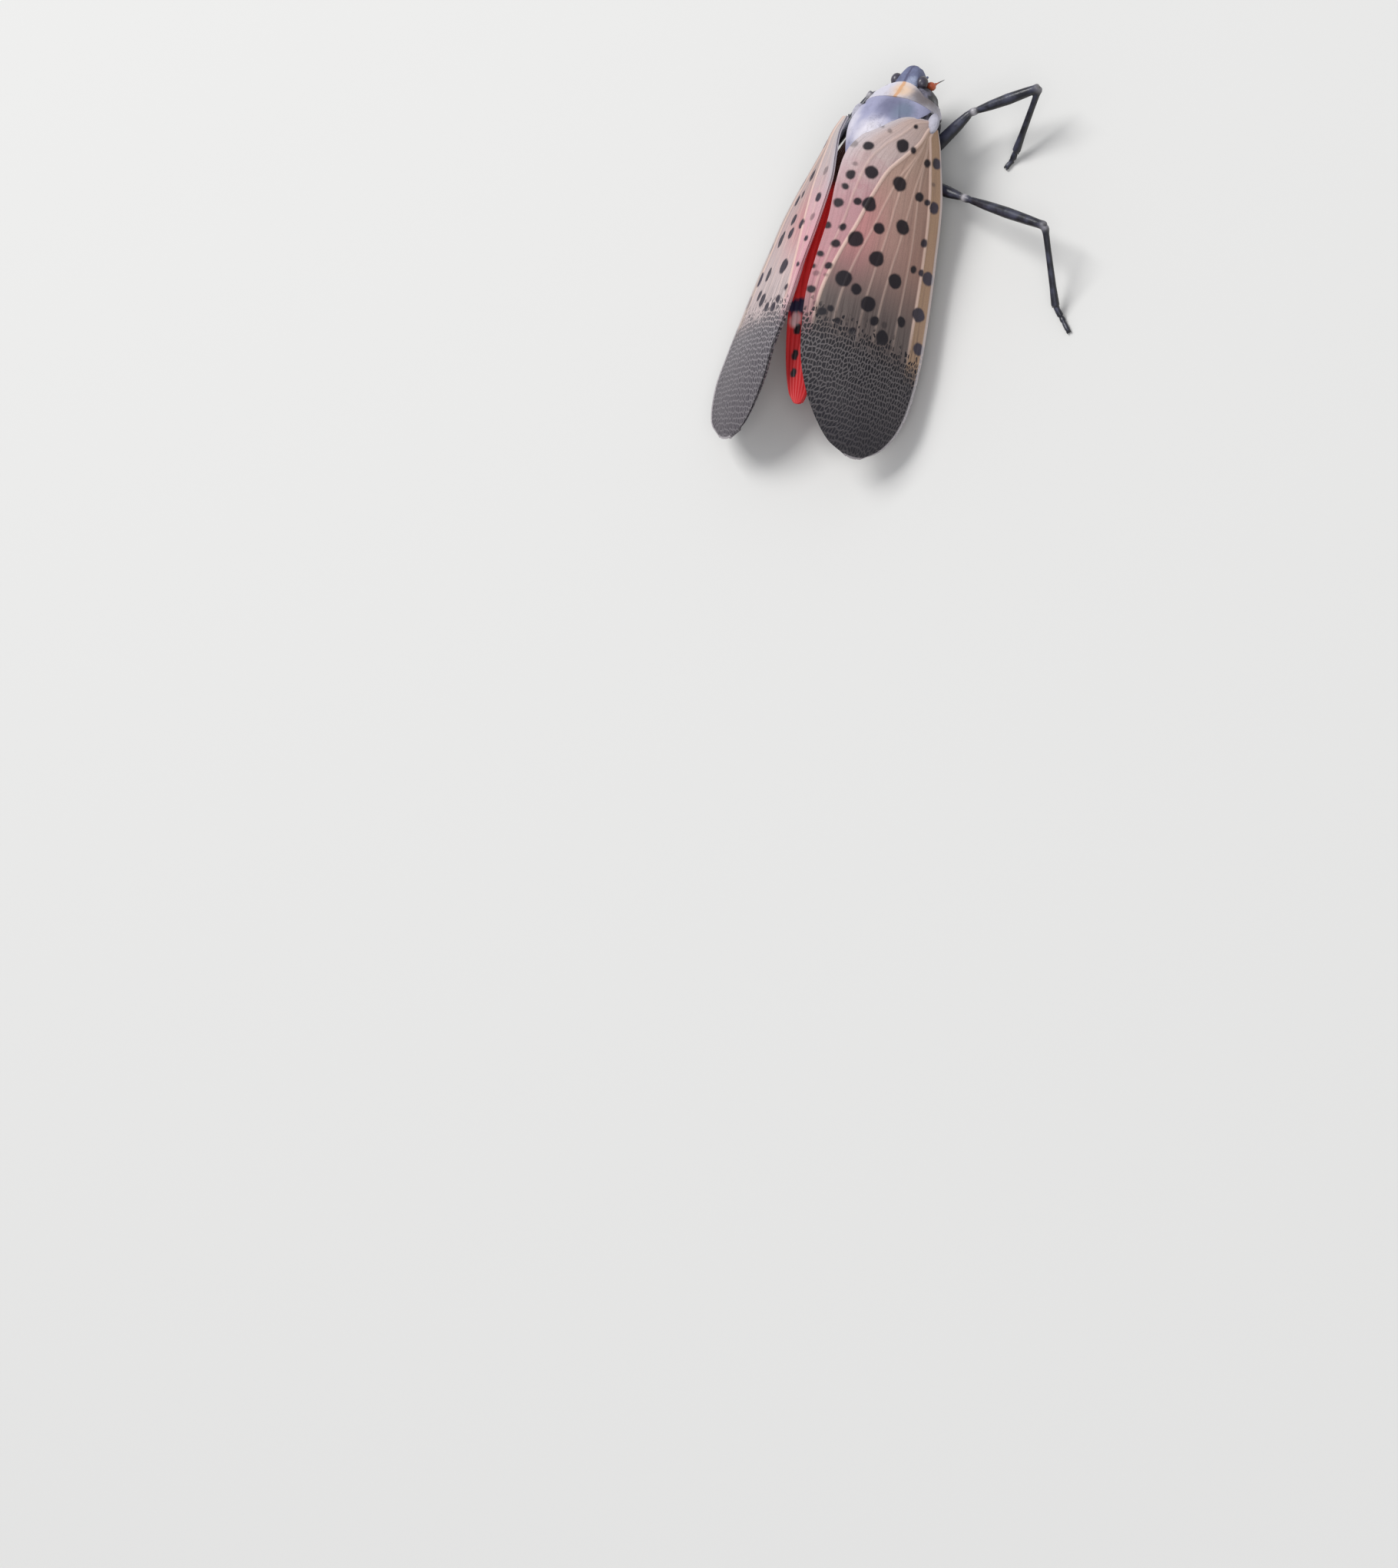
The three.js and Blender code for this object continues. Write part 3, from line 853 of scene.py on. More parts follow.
SHIELD_POWDER = Powdered(
    "shield_powder",
    skin=paint(80, 76, 98),
    powder=paint(158, 158, 186),
    amount=0.82,
    patches=(
        Patch(paint(112, 113, 140), (0.1, -0.6, 6.1), (1.2, 1.2, 1.4)),
        Patch(paint(112, 122, 144), (1.0, -0.8, 6.0), (0.9, 0.9, 1.3)),
        Patch(paint(222, 217, 226), (-0.6, -2.7, 6.7), (1.9, 1.35, 1.5)),
        Patch(paint(212, 208, 220), (-2.4, -2.0, 5.5), (0.9, 1.6, 1.0)),
    ),
)
TEGULA_POWDER = Powdered("tegula_powder", skin=paint(88, 84, 98), powder=paint(184, 182, 194), amount=0.72)


@dataclass(frozen=True)
class Belly(Finish):
    """Yellow rings with black bands, a black tip, and a black breast with a grey bloom on top."""

    name: str = "belly_skin"
    yellow: Colour = paint(205, 160, 50)
    pale_yellow: Colour = paint(225, 190, 90)
    black: Colour = paint(34, 32, 38)
    bloom: Colour = paint(128, 124, 140)
    bloom_level: Span = (3.2, 5.2)
    band: Span = (0.42, 0.56)
    breast: Span = (-5.9, -5.0)
    tip: Span = (-14.5, -14.3)

    def look(self, graph: Graph) -> Look:
        """Lays the bands, the breast and the tip by their place along the body.

        Args:
            graph: The material's graph.

        Returns:
            The look.
        """
        place = graph.insect_place()
        _x, y, z = graph.parts(place)
        ring = graph.math("FRACT", graph.math("DIVIDE", graph.minus(y, FIRST_RING), RING_LENGTH))
        band = graph.fade(graph.plus(ring, graph.centred(graph.noise(place, 2.0), 0.25)), *self.band)
        breast = graph.fade(y, *self.breast)
        tip = graph.fade(y, *self.tip, 1.0, 0.0)
        clouds = graph.fade(graph.noise(place, 1.7, 5.0), 0.4, 0.65)
        cover = graph.times(graph.fade(z, *self.bloom_level), clouds)
        black = graph.blend(graph.times(cover, breast), self.black, self.bloom)
        grain = graph.group(grain_group, {"Scale": 12.0})
        mottle = grain.outputs["Mottle"]
        yellow = graph.blend(mottle, self.yellow, self.pale_yellow)
        colour = graph.blend(graph.larger(band, graph.larger(breast, tip)), yellow, black)
        return Look(colour, graph.fade(mottle, 0.2, 0.8, 0.4, 0.6), grain.outputs["Height"])


@dataclass(frozen=True)
class Lens(Finish):
    """A dark, glossy eye of many facets, with a painted slate highlight on top."""

    name: str = "eye_lens"
    coat: float = 0.35
    relief: float = 0.006
    roughness: float = 0.36
    black: Colour = paint(22, 18, 24)
    brown: Colour = paint(56, 40, 44)
    # painted highlight: the top of the eye is lightened to slate
    bloom: Colour = paint(96, 96, 116)
    bloom_level: Span = (4.45, 4.8)

    def look(self, graph: Graph) -> Look:
        """Lays the dark browns, the painted highlight on top and the facets.

        Args:
            graph: The material's graph.

        Returns:
            The look.
        """
        place = graph.insect_place()
        facets = graph.add("TexVoronoi", {"Vector": place, "Scale": 22.0, "Randomness": 0.3})
        dark = graph.blend(graph.noise(place, 3.0), self.black, self.brown)
        upper = graph.fade(graph.parts(place)[2], *self.bloom_level, 0.0, 0.35)
        height = graph.minus(1.0, facets.outputs["Distance"])
        return Look(graph.blend(upper, dark, self.bloom), self.roughness, height)


@dataclass(frozen=True)
class Bulb(Finish):
    """An orange-red antenna bulb with small pits and a dark bristle."""

    name: str = "antenna_bulb"
    relief: float = 0.02
    roughness: float = 0.42
    orange: Colour = paint(205, 105, 66)
    rust: Colour = paint(160, 62, 40)
    bristle: Colour = paint(40, 28, 30)
    bristle_start: Span = (2.05, 2.15)

    def look(self, graph: Graph) -> Look:
        """Lays the orange with its pits, and the dark of the bristle.

        Args:
            graph: The material's graph.

        Returns:
            The look.
        """
        place = graph.insect_place()
        cells = graph.add("TexVoronoi", {"Vector": place, "Scale": 9.0}, feature="SMOOTH_F1")
        pits = cells.outputs["Distance"]
        skin = graph.blend(pits, self.orange, self.rust)
        tip = graph.fade(graph.parts(place)[1], *self.bristle_start)
        return Look(graph.blend(tip, skin, self.bristle), self.roughness, pits)


@dataclass(frozen=True)
class Chitin(Finish):
    """Black leg skin with a thin bluish bloom in patches, lightened as a painted highlight where it faces
    up, pale at the joints.
    """

    name: str = "leg_chitin"
    coat: float = 0.15
    relief: float = 0.008
    black: Colour = paint(20, 19, 23)
    bloom: Colour = paint(98, 101, 128)
    pale: Colour = paint(190, 186, 190)

    def look(self, graph: Graph) -> Look:
        """Lays the black, the patchy bloom with its painted highlight where the skin faces up, and the pale
        joints.

        Args:
            graph: The material's graph.

        Returns:
            The look.
        """
        place = graph.insect_place()
        patches = graph.noise(place, 1.3, 4.0)
        facing = graph.parts(graph.add("TexCoord", {}).outputs["Normal"])[2]
        # partly painted highlight: the bluish bloom shows only where the skin faces up
        upper = graph.times(graph.fade(facing, 0.2, 0.95), graph.fade(patches, 0.35, 0.7, 0.05, 0.45))
        skin = graph.blend(upper, self.black, self.bloom)
        colour = graph.blend(graph.times(graph.attribute("pale"), 0.75), skin, self.pale)
        return Look(colour, graph.fade(patches, 0.3, 0.7, 0.3, 0.5), graph.noise(place, 16.0, 2.0))


@dataclass(frozen=True)
class Membrane(Finish):
    """The hindwing: brown root, scarlet with black spots, a dark band, a white patch, and a red end
    darkened with painted shade.
    """

    name: str = "hindwing_membrane"
    roughness: float = 0.5
    # painted glow: the membrane emits its own colour weakly, to brighten it as if lit
    glow: float = 0.1
    spots: Rows = (
        (-2.7, -14.9, 0.32), (-2.4, -16.5, 0.3), (-2.2, -17.6, 0.26),
        (-1.5, -9.4, 0.3), (-2.0, -7.6, 0.25), (-1.2, -11.6, 0.3),
    )
    root: Colour = paint(70, 42, 38)
    root_end: Span = (5.3, 6.0)
    scarlet: Colour = paint(218, 38, 46)
    light_scarlet: Colour = paint(236, 60, 58)
    # painted shade: the red darkens towards the wing's end, where it lies in shadow
    shaded_scarlet: Colour = paint(170, 26, 32)
    shade_reach: Span = (13.5, 18.0)
    spot: Colour = paint(28, 20, 26)
    band: Colour = paint(38, 40, 72)
    band_start: Span = (12.9, 13.2)
    band_end: Span = (13.8, 14.1)
    white: Colour = paint(225, 220, 222)
    white_at: Place = (-3.1, -14.3, 0.0)
    white_edge: Span = (0.3, 0.65)
    spot_fade: Span = (-0.05, 0.1)

    def look(self, graph: Graph) -> Look:
        """Lays the colours by their place along the wing, and gives the colour a painted glow, a weak
        emission that brightens the red as if lit.

        Args:
            graph: The material's graph.

        Returns:
            The look.
        """
        place = graph.insect_place()
        x, y, _z = graph.parts(place)
        along = graph.minus(graph.centred(graph.noise(place, 1.5), 0.8), y)
        plan = graph.plan(x, y)
        red = graph.blend(graph.noise(place, 1.2), self.scarlet, self.light_scarlet)
        red = graph.blend(graph.fade(along, *self.shade_reach, 0.0, 0.75), red, self.shaded_scarlet)
        skin = graph.blend(graph.fade(along, *self.root_end), self.root, red)
        inside = graph.fade(graph.spot_edge(plan, self.spots), *self.spot_fade, 1.0, 0.0)
        skin = graph.blend(inside, skin, self.spot)
        begun = graph.fade(along, *self.band_start)
        banded = graph.times(begun, graph.fade(along, *self.band_end, 1.0, 0.0))
        skin = graph.blend(banded, skin, self.band)
        white = graph.fade(graph.vector("DISTANCE", plan, self.white_at, out=1), *self.white_edge, 1.0, 0.0)
        return Look(graph.blend(white, skin, self.white), self.roughness, graph.noise(place, 9.0), skin)


# Each spot holds its place along the wing, its place across it and its radius.
RIGHT_SPOTS = (
    (3.7, 1.0, 0.28), (3.1, 2.9, 0.41), (1.7, 3.4, 0.14), (3.1, 3.7, 0.19), (5.7, 0.5, 0.27),
    (5.2, 1.6, 0.41), (6.5, 0.4, 0.2), (3.4, 4.9, 0.25), (3.1, 5.6, 0.33), (5.3, 3.5, 0.46),
    (7.2, 1.3, 0.25), (7.2, 2.0, 0.45), (7.6, 0.3, 0.28), (5.5, 5.1, 0.3), (5.6, 5.7, 0.2),
    (5.7, 6.3, 0.36), (8.4, 3.0, 0.36), (7.7, 4.5, 0.46), (9.0, 0.9, 0.21), (9.1, 0.1, 0.21),
    (9.5, 1.8, 0.47), (10.1, 0.8, 0.24), (8.0, 6.3, 0.24), (10.9, 0.2, 0.19), (10.2, 3.4, 0.48),
    (11.5, 0.8, 0.2), (9.8, 6.1, 0.24), (11.7, 0.0, 0.15), (12.0, 1.8, 0.47), (11.0, 5.0, 0.45),
    (9.9, 7.3, 0.43), (9.8, 6.7, 0.2), (12.4, 2.7, 0.33), (13.1, 0.3, 0.22), (13.0, 3.7, 0.47),
    (14.0, 1.6, 0.19), (14.3, 1.2, 0.25), (14.6, 2.2, 0.19), (13.8, 4.4, 0.28), (13.2, 6.2, 0.32),
    (14.9, 3.2, 0.23), (14.6, 5.2, 0.44), (12.3, 7.3, 0.46), (14.3, 7.9, 0.41),
)
RIGHT_FAINT_SPOTS = (
    (3.8, 0.2, 0.2), (2.3, 1.4, 0.13), (2.5, 1.9, 0.13), (5.0, 0.6, 0.13), (4.4, 5.8, 0.13),
    (12.1, 0.3, 0.16), (12.1, 0.8, 0.1), (13.8, 5.1, 0.2),
)
LEFT_SPOTS = (
    (2.9, 3.6, 0.3), (5.2, 3.3, 0.43), (6.4, 3.8, 0.23), (6.6, 4.8, 0.41), (7.1, 0.7, 0.3),
    (8.7, 1.7, 0.33), (8.2, 3.5, 0.41), (9.2, 3.0, 0.36), (9.3, 4.8, 0.51), (9.8, 0.5, 0.18),
    (11.5, 2.2, 0.51), (11.5, 0.5, 0.15), (11.7, 4.7, 0.46), (11.7, 6.7, 0.48), (13.0, 1.0, 0.21),
    (13.7, 1.6, 0.25), (13.0, 5.2, 0.36), (13.5, 4.1, 0.46), (14.1, 2.9, 0.3), (14.2, 2.0, 0.3),
)
LEFT_FAINT_SPOTS = (
    (5.3, 1.0, 0.25), (5.2, 5.7, 0.41), (8.4, 0.6, 0.23), (9.4, 7.3, 0.36), (13.1, 7.6, 0.41),
)


@dataclass(frozen=True)
class WingPlace:
    """What a forewing's layers are laid by.

    Shares of its width and length, its flat place, the ways along it and across it from its ridge,
    how far past the start of the net it is, and its threads.
    """

    width: Socket
    length: Socket
    plane: Socket
    along: Socket
    across: Socket
    past: Socket
    thread: Socket


@dataclass(frozen=True)
class WingFinish(Finish):
    """A forewing's leathery skin: spots over the inner part, and a net of veins over the outer part.

    The clavus is the strip along the inner margin, the corium is the middle of the wing, and the
    costa is the strip along the outer margin.
    """

    relief: float = 0.03
    specular: float = 0.3
    origin: Flat = (-1.2, 7.4)
    outward: Flat = (0.69, -0.725)
    spots: Rows = RIGHT_SPOTS
    faint_spots: Rows = RIGHT_FAINT_SPOTS
    faintness: float = 0.5
    spot_fade: Span = (-0.07, 0.09)
    spot: Colour = paint(22, 17, 26)
    rim_spot: Colour = paint(62, 57, 70)
    clavus: tuple[tuple[float, Colour], ...] = (
        (0.05, paint(200, 175, 165)),
        (0.25, paint(204, 182, 178)),
        (0.38, paint(190, 146, 150)),
        (0.58, paint(196, 138, 144)),
    )
    corium: tuple[tuple[float, Colour], ...] = (
        (0.04, paint(172, 144, 122)),
        (0.22, paint(192, 160, 144)),
        (0.45, paint(182, 143, 132)),
        (0.62, paint(172, 136, 126)),
    )
    outer_skin: Colour = paint(140, 108, 90)
    outer_reach: Span = (0.5, 0.88)
    blush: Colour = paint(202, 132, 136)
    blush_reach: Span = (1.8, 4.2)
    blush_start: Span = (4.5, 8.5)
    blush_end: Span = (10.5, 14.5)
    dusk: Colour = paint(103, 92, 88)
    dusk_reach: Span = (-6.2, -1.0)
    clavus_dusk_reach: Span = (-2.5, -0.3)
    costa: Colour = paint(180, 147, 118)
    # painted reflection: a pale lavender sheen of the sky along the inner margin near the root
    inner_sheen: Colour = paint(204, 198, 204)
    inner_sheen_width: Span = (0.0, 0.16)
    inner_sheen_length: Span = (0.15, 0.42)
    thread: Colour = paint(96, 74, 74)
    mottle: Colour = paint(90, 70, 70)
    vein: Colour = paint(225, 195, 180)
    net_cell: Colour = paint(28, 25, 30)
    net_vein: Colour = paint(102, 96, 97)
    # painted sheen: a blue-grey that lowers the net's contrast towards the tip and the outer margin
    net_sheen: Colour = paint(42, 40, 46)
    net_start: float = 14.5
    net_lean: float = 0.1
    net_cells: Flat = (6.0, 2.9)
    # partly painted highlight: a pale line along the outer margin and the tip
    rim: Colour = paint(205, 198, 200)

    def place(self, graph: Graph) -> WingPlace:
        """Works out what the layers are laid by.

        Args:
            graph: The material's graph.

        Returns:
            The wing's places.
        """
        width, length, _none = graph.parts(graph.shares())
        x, y, z = graph.parts(graph.insect_place())
        along = graph.times(y, -1.0)
        side = graph.times(graph.minus(x, self.origin[0]), self.outward[0])
        down = graph.times(graph.minus(z, self.origin[1]), self.outward[1])
        across = graph.plus(side, down)
        start = graph.plus(graph.times(across, self.net_lean), self.net_start)
        thread = graph.group(thread_group, {}).outputs[0]
        plane = graph.plan(along, across)
        return WingPlace(width, length, plane, along, across, graph.minus(along, start), thread)

    def leather(self, graph: Graph, at: WingPlace, grain: Node) -> Socket:
        """Lays the skin's own colours, a painted reflection along the inner margin, and its main veins.

        Args:
            graph: The material's graph.
            at: The wing's places.
            grain: The leather's grain.

        Returns:
            The colour.
        """
        reach = graph.plus(at.length, graph.centred(grain.outputs["Mottle"], 0.16))
        clavus = graph.ramp(reach, self.clavus)
        clavus = graph.blend(graph.fade(at.past, *self.clavus_dusk_reach, 0.0, 0.5), clavus, self.dusk)
        corium = graph.ramp(reach, self.corium)
        corium = graph.blend(graph.fade(at.width, *self.outer_reach, 0.0, 0.5), corium, self.outer_skin)
        rose = graph.fade(at.across, *self.blush_reach, 0.65, 0.0)
        rose = graph.times(rose, graph.fade(at.along, *self.blush_start))
        rose = graph.times(rose, graph.fade(at.along, *self.blush_end, 1.0, 0.0))
        corium = graph.blend(rose, corium, self.blush)
        corium = graph.blend(graph.fade(at.past, *self.dusk_reach), corium, self.dusk)
        skin = graph.blend(graph.attribute("clavus"), corium, clavus)
        skin = graph.blend(graph.times(graph.attribute("costal"), 0.8), skin, self.costa)
        # painted reflection of the sky along the inner margin
        beside = graph.fade(at.width, *self.inner_sheen_width, 1.0, 0.0)
        inner = graph.times(beside, graph.fade(at.length, *self.inner_sheen_length, 1.0, 0.0))
        skin = graph.blend(graph.times(inner, 0.8), skin, self.inner_sheen)
        skin = graph.blend(graph.fade(at.thread, 0.45, 0.7, 0.0, 0.2), skin, self.thread)
        skin = graph.blend(graph.fade(grain.outputs["Height"], 0.2, 0.6, 0.0, 0.1), skin, self.mottle)
        return graph.blend(graph.times(graph.attribute("vein"), 0.75), skin, self.vein)

    def spotted(self, graph: Graph, at: WingPlace, skin: Socket) -> Socket:
        """Lays the strong and the faint spots on the skin.

        Args:
            graph: The material's graph.
            at: The wing's places.
            skin: The colour so far.

        Returns:
            The colour.
        """
        place = graph.jolted(at.plane, graph.insect_place(), 1.3, 2.0, 0.24)
        strong, faint = (
            graph.fade(graph.spot_edge(place, spots), *self.spot_fade, 1.0, 0.0)
            for spots in (self.spots, self.faint_spots)
        )
        mask = graph.larger(strong, graph.times(faint, self.faintness))
        spot = graph.blend(graph.fade(at.width, 0.78, 0.95), self.spot, self.rim_spot)
        return graph.blend(graph.times(mask, 0.97), skin, spot)

    def netted(
        self, graph: Graph, at: WingPlace, past: Socket, net: Node, skin: Socket
    ) -> Socket:
        """Lays the net's pale lines and dark cells past a ragged start, with a painted sheen towards the
        tip and the outer margin, and dark dashes before it.

        Args:
            graph: The material's graph.
            at: The wing's places.
            past: How far past the ragged start of the net it is.
            net: The net of veins.
            skin: The colour so far.

        Returns:
            The colour.
        """
        dashes = graph.times(graph.fade(at.thread, 0.5, 0.62), graph.fade(past, -2.6, -0.2))
        skin = graph.blend(graph.times(dashes, 0.4), skin, self.net_cell)
        # painted sheen over the net towards the tip and the outer margin
        outer = graph.larger(graph.fade(at.length, 0.62, 0.94), graph.fade(at.width, 0.75, 1.0, 0.0, 0.6))
        cell = graph.blend(graph.times(outer, 0.8), self.net_cell, self.net_sheen)
        line = graph.blend(graph.times(outer, 0.6), self.net_vein, self.net_sheen)
        skin = graph.blend(graph.fade(past, -0.3, 1.6), skin, line)
        early = graph.centred(net.outputs["Cell"], 1.6)
        holes = graph.minus(1.0, net.outputs["Vein"])
        holes = graph.times(holes, graph.fade(graph.plus(past, early), -0.5, 0.3))
        return graph.blend(holes, skin, cell)

    def look(self, graph: Graph) -> Look:
        """Lays the skin, the spots, the net and the pale rim, which is partly a painted highlight.

        Args:
            graph: The material's graph.

        Returns:
            The look.
        """
        at = self.place(graph)
        grain = graph.group(grain_group, {"Scale": 16.0})
        wide, long = self.net_cells
        cells = {"Across": graph.times(at.across, wide), "Along": graph.times(at.along, long)}
        net = graph.group(net_group, cells)
        past = graph.plus(at.past, graph.centred(graph.noise(graph.insect_place(), 1.6, 3.0), 1.3))
        skin = self.spotted(graph, at, self.leather(graph, at, grain))
        skin = self.netted(graph, at, past, net, skin)
        rim_line_and_highlight = graph.larger(graph.fade(at.width, 0.975, 0.99), graph.fade(at.length, 0.985, 0.995))
        colour = graph.blend(graph.times(rim_line_and_highlight, 0.6), skin, self.rim)
        begun = graph.fade(past, -0.3, 0.5)
        relief = graph.times(net.outputs["Vein"], begun)
        height = graph.plus(relief, graph.times(grain.outputs["Height"], 0.35))
        return Look(colour, graph.fade(begun, 0.0, 1.0, 0.6, 0.5), height)


RIGHT_WING = WingFinish("forewing_right_skin")
# painted sheen: the left forewing is a lit copy of the right one's finish, with paler skin, a greyer net
# and lighter spots for the glancing light on this side
LEFT_WING = WingFinish(
    "forewing_left_skin",
    origin=(-2.25, 6.8),
    outward=(-0.72, -0.694),
    spots=LEFT_SPOTS,
    faint_spots=LEFT_FAINT_SPOTS,
    spot=paint(46, 38, 52),
    inner_sheen=paint(190, 186, 196),
    rim_spot=paint(82, 76, 92),
    clavus=(
        (0.05, paint(188, 182, 180)),
        (0.25, paint(200, 178, 178)),
        (0.42, paint(216, 165, 172)),
        (0.58, paint(214, 158, 168)),
    ),
    corium=(
        (0.04, paint(150, 142, 138)),
        (0.22, paint(172, 153, 150)),
        (0.45, paint(202, 168, 166)),
        (0.6, paint(196, 178, 178)),
    ),
    costa=paint(190, 172, 160),
    outer_skin=paint(176, 164, 168),
    net_cell=paint(70, 65, 72),
    net_vein=paint(150, 144, 147),
    net_sheen=paint(86, 81, 86),
    dusk=paint(204, 186, 184),
    net_start=14.2,
    net_lean=0.04,
)


def dress(piece: Piece, finish: Finish) -> Piece:
    """Gives a piece its finish alone."""
    piece.data.materials.clear()
    piece.data.materials.append(finish.material())
    return piece


def settle(
    piece: Piece, finish: Finish, nodes: Sequence[str] = (), sharp: float = 50.0
) -> Piece:
    """Closes a piece, shades it, hands it to the frame in metres and dresses it.

    Args:
        piece: A mesh in the insect's own millimetres.
        finish: Its finish.
        nodes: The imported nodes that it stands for.
        sharp: The angle in degrees past which an edge stays sharp.

    Returns:
        The same piece.
    """
    with editing(piece):
        bpy.ops.mesh.remove_doubles(threshold=WELD)
        bpy.ops.mesh.normals_make_consistent(inside=False)
    bpy.ops.object.shade_smooth_by_angle(angle=math.radians(sharp))
    piece.data.transform(Matrix.Translation(SHIFT) @ Matrix.Scale(MM, 4))
    piece.data.update()
    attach(piece, "root")
    if nodes:
        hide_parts(*nodes)
    return dress(piece, finish)


# Body


# Each row holds the y of a cross-section, its half width, its top, its widest level and its bottom.
BODY = (
    (-15.6, 0.28, 2.25, 2.0, 1.75),
    (-15.3, 0.62, 2.55, 2.03, 1.45),
    (-14.6, 1.06, 2.96, 2.1, 1.22),
    (-13.0, 1.68, 3.58, 2.3, 1.02),
    (-10.5, 2.08, 3.98, 2.5, 0.92),
    (-7.5, 2.18, 4.23, 2.7, 0.97),
    (-5.3, 1.88, 4.62, 2.9, 1.2),
    (-4.6, 1.95, 5.5, 3.5, 1.28),
    (-3.4, 2.18, 5.56, 3.8, 1.22),
    (-2.4, 2.28, 5.42, 4.0, 1.22),
    (-1.2, 2.33, 5.6, 4.2, 1.37),
    (0.0, 2.23, 5.4, 4.2, 1.62),
    (0.8, 1.78, 4.96, 4.1, 1.92),
    (1.3, 1.45, 4.66, 3.98, 2.15),
    (1.46, 1.12, 4.36, 3.86, 2.45),
    (1.52, 0.7, 4.05, 3.75, 2.8),
)
BACK = (
    (-5.6, 1.9, 7.2, 3.5, 1.3),
    (-4.4, 2.1, 7.3, 3.6, 1.25),
    (-3.4, 2.3, 7.1, 3.8, 1.2),
    (-2.4, 2.4, 6.75, 4.0, 1.2),
    (-1.2, 2.45, 6.3, 4.2, 1.35),
    (0.0, 2.35, 5.8, 4.2, 1.6),
    (0.8, 1.9, 5.35, 4.1, 1.9),
    (1.6, 1.3, 4.95, 3.9, 2.3),
)
BODY_FORM = Profile(BODY)
BACK_FORM = Profile(BACK)


def section_point(row: Sequence[float], angle: float, fullness: float, swell: float = 0.0) -> Flat:
    """Finds x and z on a body's cross-section.

    Args:
        row: Half width, top, widest level and bottom.
        angle: The way around, 0 to +X and a quarter turn to +Z.
        fullness: The superellipse's power.
        swell: How far the skin stands out.

    Returns:
        The x and the z.
    """
    half, top, widest, bottom = row
    height = top - widest if math.sin(angle) > 0 else widest - bottom
    across = rounded(math.cos(angle), fullness) * (half + swell)
    return across, widest + rounded(math.sin(angle), fullness) * (height + swell)


@dataclass(frozen=True)
class Trunk:
    """The flanks of the thorax and the ringed abdomen, in one skin."""

    sides: int = 72
    rings: int = 7
    tail: float = -15.6
    front_sections: int = 90
    step: float = 0.09
    side_seam: float = 0.05
    flank_seam: float = 0.06
    flank_seams: Rows = ((-0.3, -0.2), (-1.6, 0.3), (-2.5, -0.25), (-3.7, 0.3))

    def sink(self, y: float) -> float:
        """Works out how far the skin lies in along the abdomen, least at each ring's rear.

        Args:
            y: The place along the body.

        Returns:
            The depth.
        """
        place = (y - FIRST_RING) / RING_LENGTH
        if not 0 <= place < self.rings:
            return 0.0
        return self.step * (place - math.floor(place)) ** 1.5

    def seam(self, y: float, z: float) -> float:
        """Works out how deep the seams are: one along the abdomen's side, and four down the thorax's.

        Args:
            y: The place along the body.
            z: The level.

        Returns:
            The depth, as a share of the way from the midline.
        """
        depth = self.side_seam * ridge(z - 3.1, 0.12) * smooth(-y, 5.0, 6.0)
        for at, lean in self.flank_seams:
            off = y - at - lean * (z - 3.2)
            depth += self.flank_seam * ridge(off, 0.07) * (1 - smooth(-y, 4.4, 4.8))
        return depth

    def stations(self) -> list[float]:
        """Lists the places of the skin's cross-sections, close together where one ring steps over the next.

        Returns:
            The places, from the tail on.
        """
        places = [self.tail]
        for ring in range(self.rings):
            start = FIRST_RING + ring * RING_LENGTH
            places += [start + RING_LENGTH * share for share in (0.0, 0.2, 0.45, 0.7, 0.9, 0.985)]
        front = FIRST_RING + self.rings * RING_LENGTH
        return [*places, *np.linspace(front, BODY[-1][0], self.front_sections)]

    def build(self) -> Piece:
        """Models the skin, dresses it and lets it stand for its nodes.

        Returns:
            The skin.
        """
        sections = []
        for y in self.stations():
            row, sink = BODY_FORM(y), self.sink(y)
            fullness = 2.1 + 0.4 * smooth(y, -6.0, -4.5)
            section = []
            for angle in turns(self.sides):
                x, z = section_point(row, angle, fullness, -sink)
                section.append(Vector((x * (1 - self.seam(y, z)), y, z)))
            sections.append(section)
        nodes = ("thorax", "abdomen", "abdomen_tip")
        return settle(lofted("body_skin", sections), Belly(), nodes)


@dataclass(frozen=True)
class BackPlate:
    """A plate on the insect's back: a shell laid round part of the back's own section."""

    name: str
    slot: Slot
    finish: Finish
    nodes: tuple[str, ...]
    columns: int
    rows: int
    thickness: float = 0.16
    fullness: float = 2.5

    def place(self, across: float, along: float) -> Flat:
        """Finds the way around the section and the y at two shares of the plate."""
        raise NotImplementedError

    def relief(self, x: float, y: float) -> float:
        """Works out how far the plate's carving stands out at a place."""
        raise NotImplementedError

    def laid(self, co: Vector) -> Vector:
        """Moves a point of a flat unit grid to its place on the plate's face.

        Args:
            co: The point.

        Returns:
            Its place.
        """
        angle, y = self.place(co.x + 0.5, co.y + 0.5)
        row = BACK_FORM(y)
        middle = row[2]
        x, z = section_point(row, angle, self.fullness)
        grown = 1 + self.relief(x, y) / math.hypot(x, z - middle)
        return Vector((x * grown, y, middle + (z - middle) * grown))

    def build(self) -> Piece:
        """Models the shell, dresses it and lets it stand for its nodes.

        Returns:
            The shell.
        """
        shell = sheet_grid(self.name, self.columns, self.rows)
        move_points(shell, self.laid)
        finish_form(shell, "SOLIDIFY", thickness=self.thickness, offset=-1.0)
        return settle(shell, self.finish, self.nodes)


